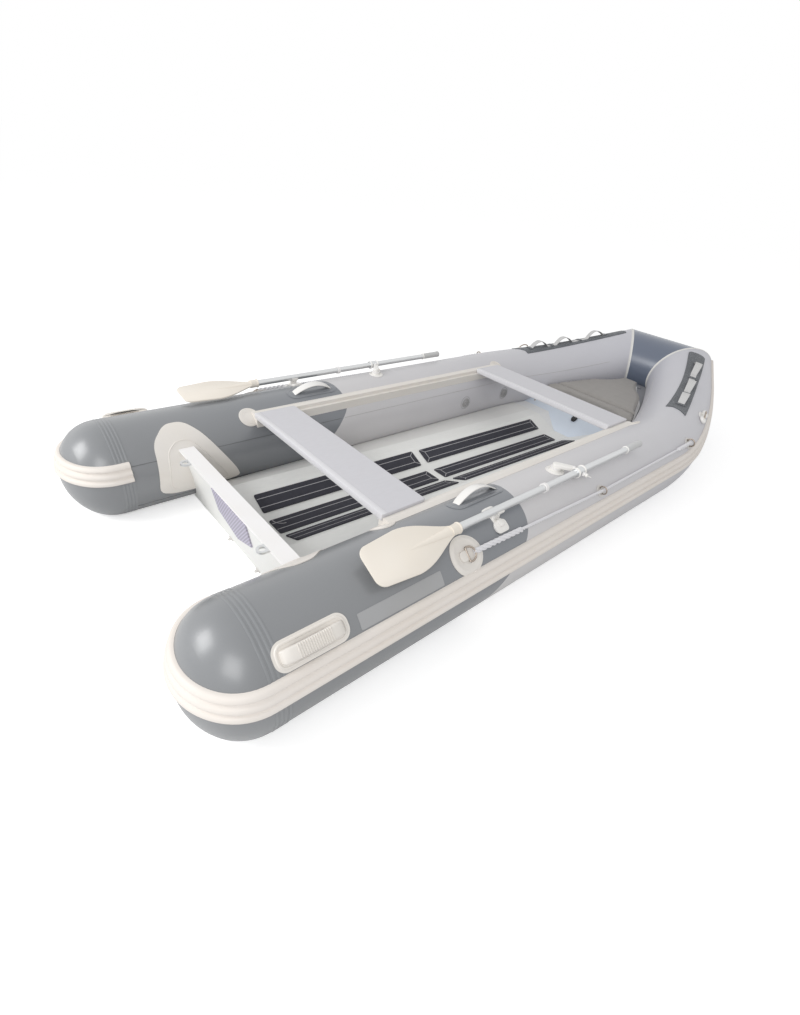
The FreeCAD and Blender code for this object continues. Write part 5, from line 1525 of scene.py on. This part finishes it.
@dataclass
class ClipLobes:
    """Raised faces of the oar clip's lobes and the bent tongue beside the shaft."""

    x: float = aft(0.705)
    angle: float = 66.0
    lobe_shift: float = 0.0355
    lobe_sizes: tuple[Pair, Pair] = ((0.066, 0.048), (0.058, 0.034))

    def build(self, dresser: Dresser) -> None:
        """Make both sides."""
        lobes = []
        for shift, size in zip((-self.lobe_shift, self.lobe_shift), self.lobe_sizes):
            lobe = Bench.soften(Bench.stadium("lobe", *size, 0.006, 0.015, 6), 0.002, 3)
            lobes.append(Bench.shifted(lobe, y=shift, z=0.003))
        tongue = Bench.soften(Bench.stadium("tongue", 0.026, 0.030, 0.016, 0.010, 6), 0.005, 3)
        lobes.append(Bench.shifted(tongue, y=0.012 - self.lobe_shift, z=0.003))
        clip = PATH.wrap(Bench.merged("clip", lobes), self.x, self.angle)
        dresser.add_pair(clip, "clip_faces", "moulded_rubber", finish=FITTING)


@dataclass
class RowlockTrim:
    """Moulded dish under the rowlock, the block over its arm, and its knob."""

    base_x: float = aft(1.215)
    dish_radii: tuple[float, ...] = (0.039, 0.031)

    def block(self) -> bpy.types.Object:
        """The moulded block from the column towards the oar."""
        column = Vector((self.base_x, TUBE_SIDE, 0))
        elbow = Vector((PIVOT[0], PIVOT[1] - 0.027, 0))
        run = elbow - column
        end, half = run.length, 0.017
        nose = [(end - 0.004, -half * 0.8), (end, -half * 0.3), (end, half * 0.3), (end - 0.004, half * 0.8)]
        block = extruded("block", arc_points(half, 90, 270, 9) + nose, 0.4230, 0.4405)
        Bench.soften(block, 0.003, 3)
        turn = Matrix.Rotation(math.atan2(run.y, run.x), 4, "Z")
        return Bench.moved(block, Matrix.Translation(column) @ turn)

    def knob(self) -> bpy.types.Object:
        """The round knob outboard of the oar, with its tail."""
        start = Vector((PIVOT[0] + 0.004, PIVOT[1] + 0.031, PIVOT[2] - 0.002))
        ball = Bench.soften(Bench.drum("ball", start, start + Vector((0, 0.012, 0)), 0.009, 24), 0.0042, 4)
        tail = Bench.pipe("tail", [start + Vector((0, 0.010, 0)), start + Vector((0.006, 0.018, -0.002)),
                                   start + Vector((0.014, 0.022, -0.006))], 0.0022)
        return Bench.merged("knob", [ball, tail])

    def build(self, dresser: Dresser) -> None:
        """Make both sides."""
        dish = raised_rings("dish", self.dish_radii, 0.0020, 0.0026)
        PATH.wrap(dish, self.base_x, 90.0)
        dresser.add_pair(dish, "rowlock_dish", "moulded_rubber", finish=FITTING)
        dresser.add_pair(Bench.merged("trim", [self.block(), self.knob()]), "rowlock_block", "white_plastic",
                         Body.ROWLOCKS, finish=FITTING)


@dataclass
class OarTrim:
    """Rings along each oar: clamps beside the rowlock, the grip's collar and its ridges."""

    clamp_gap: float = 0.023
    grip_start: float = aft(1.678)
    grip_end: float = aft(1.802)
    grip_ridges: int = 9
    clamp: Pair = (0.0200, 0.0042)
    collar: Pair = (0.0165, 0.0032)
    ridge: Pair = (0.0162, 0.0016)

    def ring(self, x: float, sizes: Pair) -> bpy.types.Object:
        """One ring about the oar's line, with the radii of the ring and of its wire."""
        return Bench.ring("ring", *sizes, (x, PIVOT[1], PIVOT[2]), (0, 90, 0), 40, 8)

    def build(self, dresser: Dresser) -> None:
        """Make both sides."""
        clamps = [self.ring(PIVOT[0] + gap, self.clamp) for gap in (-self.clamp_gap, self.clamp_gap)]
        clamps.append(self.ring(self.grip_start - 0.004, self.collar))
        dresser.add_pair(Bench.merged("clamps", clamps), "oar_clamps", "white_plastic", Body.OARS,
                         finish=FITTING)
        step = (self.grip_end - self.grip_start - 0.03) / (self.grip_ridges - 1)
        ridges = [self.ring(self.grip_start + 0.018 + step * index, self.ridge)
                  for index in range(self.grip_ridges)]
        dresser.add_pair(Bench.merged("ridges", ridges), "grip_ridges", "grip_rubber", Body.OARS)


@dataclass
class OarBlade:
    """Moulded blade with a rib that runs out along its middle, and the ferrule on the shaft."""

    joint_x: float = aft(0.480)
    length: float = 0.384
    half: float = 0.085
    tip_half: float = 0.074
    shoulder: float = 0.230
    neck: float = 0.021
    thickness: float = 0.0085
    ferrule: Pair = (-0.030, 0.010)
    rib_length: float = 0.255
    port_tilt: float = 8.0
    starboard_tilt: float = 25.0
    shaft_radius: float = 0.0151
    shaft_end: float = aft(0.512)
    tip_corner: float = 0.034
    rib_flatness: float = 0.80
    sleeve_radius: float = 0.0195
    lip: Pair = (0.0185, 0.0040)

    def build(self, dresser: Dresser) -> None:
        """Make both blades."""
        side = []
        for index in range(13):
            share = index / 12
            swell = (1 - math.cos(math.pi * share ** 0.85)) / 2
            side.append((-self.shoulder * share, self.neck * 0.8 + (self.half - self.neck * 0.8) * swell))
        middle = (self.tip_corner - self.length, self.tip_half - self.tip_corner)
        corner = [(middle[0] + x, middle[1] + y) for x, y in arc_points(self.tip_corner, 90, 180, 7)]
        half = side + corner
        outline = half + [(x, -y) for x, y in reversed(half)]
        plate = Bench.soften(extruded("plate", outline, -self.thickness / 2, self.thickness / 2), 0.0025)
        rib = Bench.drum("rib", (0.004, 0, 0), (-self.rib_length, 0, 0), self.neck, 32, tip=0.003)
        for vertex in rib.data.vertices:
            vertex.co.z *= self.rib_flatness
        aft_end, fore_end = self.ferrule
        sleeve = Bench.drum("sleeve", (aft_end, 0, 0), (fore_end, 0, 0), self.sleeve_radius, 36)
        lip = Bench.ring("lip", *self.lip, (fore_end - 0.002, 0, 0), (0, 90, 0), 36, 8)
        port = Bench.merged("blade_port", [plate, rib, sleeve, lip])
        starboard = Bench.copy(port, "blade_starboard")
        sides = ((port, 1, self.port_tilt, "port"), (starboard, -1, self.starboard_tilt, "starboard"))
        for blade, side, tilt, name in sides:
            place = Matrix.Translation((self.joint_x, PIVOT[1] * side, PIVOT[2]))
            Bench.moved(blade, place @ Matrix.Rotation(math.radians(tilt), 4, "X"))
            dresser.add(blade, "blade_plastic", "oar_" + name, replaces=("oar_blade_" + name,))
        start, end = Vector((self.joint_x, *PIVOT[1:])), Vector((self.shaft_end, *PIVOT[1:]))
        stub = Bench.drum("stub", start, end, self.shaft_radius, 36)
        dresser.add_pair(stub, "shaft_end", "bare_aluminium", Body.OARS)


@dataclass
class ValveCaps:
    """Cross bar and moulded rings on each inflation valve, and the outline moulded round it."""

    places: tuple[float, ...] = (from_bow(1.908), from_bow(1.497))
    outline_radius: float = 0.044
    ring_radii: Pair = (0.0175, 0.0285)
    ring_heights: Pair = (0.0118, 0.0042)

    def build(self, dresser: Dresser) -> None:
        """Make both sides."""
        caps = []
        for place in self.places:
            parts = []
            for radius, height in zip(self.ring_radii, self.ring_heights):
                parts.append(raised_rings("rings", (radius,), 0.0016, height))
            for turn in (45, 135):
                bar = Bench.box("bar", (-0.015, -0.0022, 0.0115), (0.015, 0.0022, 0.0150))
                Bench.soften(bar, 0.0009, 1)
                parts.append(Bench.moved(bar, Matrix.Rotation(math.radians(turn), 4, "Z")))
            caps.append(PATH.wrap(Bench.merged("cap", parts), place, 180.0))
            outline = [(place + x, 180 + math.degrees(y / TUBE_RADIUS))
                       for x, y in arc_points(self.outline_radius, 0, 330, 12)]
            caps.append(wrapped_pipe("outline", outline, 0.0010, 0.0004))
        dark = MouldedRubber("valve_cap", (0.300, 0.300, 0.310), 0.42)
        dresser.add_pair(Bench.merged("caps", caps), "valve_caps", "black_plastic", finish=dark)


@dataclass
class RailEnds:
    """Ridged faces of the round patches at the ends of the seat rails."""

    places: tuple[float, ...] = (aft(0.333), from_bow(1.565) + 0.019)
    angle: float = 127.0
    radii: tuple[float, ...] = (0.044, 0.036, 0.028)

    def build(self, dresser: Dresser) -> None:
        """Make both sides."""
        discs = []
        for place in self.places:
            rings = raised_rings("rings", self.radii, 0.0013, 0.0031)
            discs.append(PATH.wrap(rings, place, self.angle))
        dresser.add_pair(Bench.merged("discs", discs), "rail_end_rings", "moulded_rubber")


# Deck, thwarts and transom


@dataclass
class Deck:
    """Foam mats on the trough, each with its inlaid lines."""

    mat_width: float = 0.095
    thickness: float = 0.006
    slope: float = 23.0
    fall: float = 1.64
    middle_height: float = 0.087
    side_y: float = 0.1447
    side_z: float = 0.0381
    aft_row: Pair = (-1.461, -0.491)
    fore_row: Pair = (-0.439, 0.646)
    aft_extra: float = 0.010
    notch_radius: float = 0.045
    notch_place: Pair = (-0.425, 0.0475)
    line_width: float = 0.0032
    line_gap: float = 0.0235
    frame_gap: float = 0.030

    def onto(self, obj: bpy.types.Object, middle: float, side: int) -> bpy.types.Object:
        """Lay a flat piece on one of the three rows."""
        height = self.middle_height - (middle - TRANSOM_X) * math.tan(math.radians(self.fall))
        seat = Vector((middle, side * self.side_y, height + (self.side_z if side else 0.0)))
        tilt = Matrix.Rotation(math.radians(self.slope * side), 4, "X")
        pitch = Matrix.Rotation(math.radians(self.fall), 4, "Y")
        return Bench.moved(obj, Matrix.Translation(seat) @ pitch @ tilt)

    def line(self, start: Pair, end: Pair) -> bpy.types.Object:
        """One inlaid line on the mat's top."""
        run = Vector((end[0] - start[0], end[1] - start[1], 0))
        bar = Bench.box("bar", (0, -self.line_width / 2, self.thickness - 0.0005),
                        (run.length, self.line_width / 2, self.thickness + 0.0006))
        turn = Matrix.Rotation(math.atan2(run.y, run.x), 4, "Z")
        return Bench.moved(bar, Matrix.Translation((*start, 0)) @ turn)

    def lines(self, half: float, framed_aft: bool) -> bpy.types.Object:
        """The two long lines and the frames at the ends of one mat."""
        gap = self.line_gap
        tip = half - self.frame_gap
        tail = -tip if framed_aft else -half + 0.002
        bars = [self.line((tail, y), (tip, y)) for y in (-gap, gap)]
        edge = self.mat_width / 2 - 0.003
        for end in ((1, -1) if framed_aft else (1,)):
            bars.append(self.line((tip * end, -gap), (tip * end, gap)))
            for y in (-1, 1):
                bars.append(self.line((tip * end, gap * y), ((half - 0.003) * end, edge * y)))
        return Bench.merged("lines", bars)

    def build(self, dresser: Dresser) -> None:
        """Make the six mats."""
        lines = []
        for row, ends, extra in (("aft", self.aft_row, self.aft_extra), ("fore", self.fore_row, 0.0)):
            length = ends[1] - ends[0]
            middle = sum(ends) / 2
            for side, word in ((-1, "starboard"), (0, "middle"), (1, "port")):
                mat = Bench.stadium("mat", length, self.mat_width + extra, self.thickness, 0.008, 4)
                self.onto(Bench.soften(mat, 0.0015), middle, side)
                Bench.renamed(mat, f"mat_{row}_{word}")
                dresser.add(mat, "deck_foam", replaces=("deck_mats_" + row,))
                lines.append(self.onto(self.lines(length / 2, row == "fore"), middle, side))
        arc = arc_points(self.notch_radius, 180, 270, 7)
        notch = Bench.merged("notch", [self.line(start, end) for start, end in zip(arc, arc[1:])])
        lines.append(self.onto(Bench.shifted(notch, *self.notch_place), sum(self.aft_row) / 2, 0))
        dresser.add(Bench.merged("mat_lines", lines), "deck_foam", finish=INLAY)


@dataclass
class ThwartTrim:
    """Pale folded strip along the aft edge of each thwart."""

    starts: Pair = (-1.285, 0.329)
    half: float = 0.497
    top: float = 0.388
    strip: float = 0.024

    def build(self, dresser: Dresser) -> None:
        """Make both strips."""
        strips = []
        for x in self.starts:
            lip = Bench.box("lip", (x - 0.0016, -self.half + 0.004, self.top - 0.024),
                            (x + self.strip, self.half - 0.004, self.top + 0.0012))
            strips.append(Bench.soften(lip, 0.001))
        dresser.add(Bench.merged("thwart_strips", strips), "bench_plastic", finish=STRIP)


@dataclass
class TransomTrim:
    """Rounded patches that hold the transom to the tubes, with their outlines, and the drain plugs."""

    outer: tuple[Pair, ...] = ((-0.150, -0.100), (-0.135, 0.060), (-0.128, 0.150), (-0.060, 0.196),
                               (0.030, 0.196), (0.095, 0.150), (0.215, -0.030), (0.240, -0.100))
    inner: tuple[Pair, ...] = ((-0.100, -0.085), (-0.088, 0.060), (-0.078, 0.112), (-0.035, 0.142),
                               (0.018, 0.142), (0.058, 0.112), (0.160, -0.040), (0.180, -0.085))
    middle_angle: float = 160.0
    rake: float = 10.0
    drain_x: float = -1.6205
    drain_z: float = -0.0104
    drain_y: float = 0.125

    @staticmethod
    def on_side(place: Pair) -> Pair:
        """X and degrees round the tube, from a place along and above the tube's axis."""
        return aft(place[0]), 180 - math.degrees(math.asin(place[1] / TUBE_RADIUS))

    def plug(self, y: float) -> bpy.types.Object:
        """A plug in one of the drains, with its pull."""
        way = Vector((-math.cos(math.radians(self.rake)), 0, -math.sin(math.radians(self.rake))))
        start = Vector((self.drain_x, y, self.drain_z))
        cap = Bench.soften(Bench.drum("cap", start, start + way * 0.008, 0.0100, 24), 0.0015)
        pull = Bench.ring("pull", 0.0055, 0.0016, start + way * 0.010, (90, 0, 0), 24, 8)
        return Bench.merged("plug", [cap, pull])

    def patch(self) -> bpy.types.Object:
        """The moulded patch on the inner side of the port tube, with its rounded corners."""
        outline = []
        for x, angle in (self.on_side(place) for place in rounded(self.outer)):
            outline.append((x - TRANSOM_X, math.radians(angle - self.middle_angle) * TUBE_RADIUS))
        patch = Bench.sliced(extruded("patch", outline, 0.0, 0.003), 1, 0.009)
        return PATH.wrap(patch, TRANSOM_X, self.middle_angle)

    def build(self, dresser: Dresser) -> None:
        """Make the patches, their outlines and the plugs."""
        corners = [self.on_side(place) for place in rounded(self.inner)]
        bead = wrapped_pipe("bead", corners, 0.0026, 0.0034)
        dresser.add_pair(Bench.merged("patch", [self.patch(), bead]), "transom_patch", "moulded_rubber",
                         replaces=("transom_patches",))
        plugs = Bench.merged("drain_plugs", [self.plug(self.drain_y), self.plug(-self.drain_y)])
        dresser.add(plugs, "white_plastic", finish=PALE_MOULDING)


@dataclass
class LockerTrim:
    """Rivets on the locker's front panel, and the strap latch that holds the lid."""

    foot: Place = (0.784, 0.0, 0.0177)
    head: Place = (1.004, 0.0, 0.168)
    rivets: tuple[Pair, ...] = ((0.93, 0.435), (0.80, 0.405), (0.93, 0.30), (0.93, 0.15), (0.62, 0.36))
    latch_drop: float = 0.012
    latch_length: float = 0.125

    def build(self, dresser: Dresser) -> None:
        """Make the rivets and the latch."""
        along = Vector(self.head) - Vector(self.foot)
        out = Vector((-along.z, 0, along.x)).normalized()
        rivets = []
        for share, y in self.rivets:
            for side in (-1, 1):
                seat = Vector(self.foot) + along * share + Vector((0, y * side, 0)) + out * 0.0002
                rivets.append(Bench.drum("rivet", seat, seat + out * 0.0028, 0.0062, 16, tip=0.0034))
        dresser.add(Bench.merged("locker_rivets", rivets), "white_plastic", finish=METAL)
        strap = Bench.soften(Bench.stadium("strap", self.latch_length, 0.028, 0.007, 0.006, 4), 0.002)
        hasp = Bench.soften(Bench.stadium("hasp", 0.034, 0.036, 0.013, 0.007, 4), 0.003)
        latch = Bench.merged("latch", [strap, Bench.shifted(hasp, x=-0.038)])
        tilt = Matrix.Rotation(-math.atan2(along.z, along.x), 4, "Y")
        drop = self.latch_drop + self.latch_length / 2
        seat = Vector(self.head) - along.normalized() * drop + out * 0.0004
        Bench.moved(latch, Matrix.Translation(seat) @ tilt)
        dresser.add(latch, "black_plastic", replaces=("locker_latch",))


# Bow seat


@dataclass
class BowSeat:
    """Foam cushion on the locker's lid: a crowned pad and the roll along its aft edge, blown up as cloth."""

    voxel: float = 0.006
    shrink: float = 0.005
    cap: float = 0.011
    roll: float = 0.082
    pressure: float = 4.0
    frames: int = 20
    dip: float = 0.22
    dip_reach: float = 0.014
    off_lid: float = 0.0004
    lid_start: float = aft(2.640)
    lid_end: float = 1.649
    lid_level: float = AXIS_HEIGHT - 0.010
    lid_climb: float = 0.067

    def blank(self, name: str, fore: bool, seam_x: float) -> bpy.types.Object:
        """The part of the cushion's CAD solid on one side of the seam, a little smaller."""
        pad = Bench.copy(bpy.data.objects["bow_cushion"], name)
        pad.parent = None
        for key in tuple(pad.keys()):
            del pad[key]
        Bench.cut(Bench.outward(pad), (seam_x, 0, 0), (1, 0, 0), keep_front=fore, fill=True)
        Bench.finish_with(pad, "REMESH", mode="VOXEL", voxel_size=self.voxel)
        pad.data.update()
        shrink = self.shrink if fore else self.shrink * 0.5
        for vertex in pad.data.vertices:
            vertex.co -= vertex.normal * shrink
        return pad

    def inflate(self, pad: bpy.types.Object) -> None:
        """Swell the pad with the cloth solver, with a cap on how far a point may move."""
        rest = [vertex.co.copy() for vertex in pad.data.vertices]
        Bench.take(pad)
        cloth = pad.modifiers.new("cloth", "CLOTH")
        cloth.settings.use_pressure = True
        cloth.settings.uniform_pressure_force = self.pressure
        cloth.settings.effector_weights.gravity = 0.0
        cloth.point_cache.frame_start = 1
        cloth.point_cache.frame_end = self.frames
        for number in range(1, self.frames + 1):
            bpy.context.scene.frame_set(number)
        bpy.ops.object.modifier_apply(modifier=cloth.name)
        for vertex, start in zip(pad.data.vertices, rest):
            step = vertex.co - start
            if step.length > self.cap:
                vertex.co = start + step.normalized() * self.cap

    def crowned(self, pad: bpy.types.Object, low: Vector, high: Vector, seam_x: float) -> None:
        """Let the pad's top dip at the seam, and keep the pad on the lid."""
        for vertex in pad.data.vertices:
            place = vertex.co
            place.x = min(max(place.x, low.x - 0.004), high.x + 0.002)
            floor = self.lid_top(place.x)
            rise = max(place.z - floor, 0.0)
            dip = self.dip * math.exp(-((place.x - seam_x) / self.dip_reach) ** 2)
            place.z = max(floor + rise * (1.0 - dip), floor + self.off_lid)

    def build(self, dresser: Dresser) -> None:
        """Make the cushion."""
        low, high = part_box("bow_cushion")
        seam_x = low.x + self.roll
        pads = []
        for name, fore in (("seat_pad", True), ("seat_roll", False)):
            pad = self.blank(name, fore, seam_x)
            self.inflate(pad)
            self.crowned(pad, low, high, seam_x)
            pads.append(Bench.finish_with(pad, "SMOOTH", factor=0.5, iterations=6))
        for pad in pads:
            dresser.add(pad, "cushion_vinyl", "lid", replaces=("bow_cushion",), angle=60.0)

    def lid_top(self, x: float) -> float:
        """Height of the lid's top at X."""
        return self.lid_level + self.lid_climb * (x - self.lid_start) / (self.lid_end - self.lid_start)


# Studio


@dataclass
class Studio:
    """Camera at the photograph's place, soft lamps and a pale floor at the waterline."""

    eye: Place = (-2.27527, -1.57801, 1.42760)
    right: Place = (0.756664, -0.644360, 0.110724)
    down: Place = (-0.296775, -0.489405, -0.820005)
    forward: Place = (0.582567, 0.587608, -0.561545)
    focal_pixels: float = 492.65
    frame_height: float = 1015.0
    sky_strength: float = 0.67
    floor_tone: float = 0.80
    aim: Place = (0.0, 0.0, 0.2)

    def camera(self) -> None:
        """Place the camera."""
        data = bpy.data.cameras.new("camera")
        data.sensor_width = 36.0
        data.lens = self.focal_pixels * data.sensor_width / self.frame_height
        data.clip_start = 0.05
        data.clip_end = 600.0
        obj = linked(bpy.data.objects.new("camera", data))
        columns = (Vector(self.right), -Vector(self.down), -Vector(self.forward))
        turn = Matrix(columns).transposed().to_4x4()
        obj.matrix_world = Matrix.Translation(self.eye) @ turn
        bpy.context.scene.camera = obj

    def lamp(self, name: str, place: Place, power: float, size: float) -> None:
        """A soft square lamp that looks at the middle of the boat.

        Args:
            name: the lamp's name.
            place: where it stands.
            power: its strength in watts.
            size: its side in metres.
        """
        data = bpy.data.lights.new(name, "AREA")
        data.energy = power
        data.shape = "SQUARE"
        data.size = size
        obj = linked(bpy.data.objects.new(name, data))
        obj.location = place
        obj.rotation_euler = (Vector(self.aim) - Vector(place)).to_track_quat("-Z", "Y").to_euler()

    def world(self) -> None:
        """Even light from all round, and white to the camera and in reflections."""
        world = bpy.data.worlds.new("studio")
        bpy.context.scene.world = world
        g = Graph(world)
        shown = g.node("ShaderNodeLightPath", output="Is Camera Ray")
        for ray in ("Is Glossy Ray", "Is Transmission Ray"):
            shown = g.node("ShaderNodeMath", {"operation": "MAXIMUM"}, shown,
                           g.node("ShaderNodeLightPath", output=ray))
        lights = [g.node("ShaderNodeBackground", {}, (1.0, 1.0, 1.0), strength)
                  for strength in (self.sky_strength, 1.0)]
        g.close(g.node("ShaderNodeMixShader", {}, shown, *lights), "ShaderNodeOutputWorld")

    def floor(self) -> None:
        """White floor at the waterline, which keeps the boat's shadow."""
        Bench.clear()
        bpy.ops.mesh.primitive_plane_add(size=400.0, location=(0, 0, 0))
        floor = Bench.named("studio_floor")
        g = Graph(bpy.data.materials.new("studio_floor"))
        paints = [g.node("ShaderNodeBsdfPrincipled", {}, Base_Color=(self.floor_tone,) * 3, Roughness=1.0,
                         Specular_IOR_Level=0.0, Emission_Color=(1.0, 1.0, 1.0), Emission_Strength=glow)
                  for glow in (0.0, 1.0 - self.floor_tone * self.sky_strength)]
        seen = g.node("ShaderNodeLightPath", output="Is Camera Ray")
        g.close(g.node("ShaderNodeMixShader", {}, seen, *paints))
        floor.data.materials.append(g.owner)

    def build(self) -> None:
        """Make the whole studio."""
        self.camera()
        self.world()
        self.floor()
        self.lamp("stern_box", (-4.4, -3.0, 3.2), 74.0, 2.4)
        self.lamp("port_box", (-5.4, 1.8, 3.0), 118.0, 2.3)
        bpy.context.scene.view_settings.view_transform = "Standard"


def main() -> None:
    """Dress the boat, piece by piece."""
    logging.basicConfig(level=logging.INFO, format="%(name)s: %(message)s")
    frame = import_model()
    Bench.clear()
    Studio().build()
    dresser = Dresser(Palette())
    dresser.cad_nodes(frame)
    eyes = (LineEye("aft_eye", aft(0.494), 47.0, 0.074, Ring.LYING),
            LineEye("middle_eye", aft(1.380), 41.0, 0.028, Ring.STANDING),
            LineEye("fore_eye", from_bow(1.408), 40.0, 0.034, Ring.STANDING, 0.020, 0.0040))
    parts = (Seams(), TubeSeams(), RubStrake(), SternHandle(), CarryHandle(), BowPatch(), *eyes,
             ShoulderFitting(), GrabLine(), ClipLobes(), RowlockTrim(), OarTrim(), OarBlade(), ValveCaps(),
             RailEnds(), Deck(), ThwartTrim(), TransomTrim(), LockerTrim(), BowSeat())
    for part in parts:
        part.build(dresser)
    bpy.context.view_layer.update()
    LOG.info("%d pieces", dresser.count)


if __name__ == "__main__":
    main()
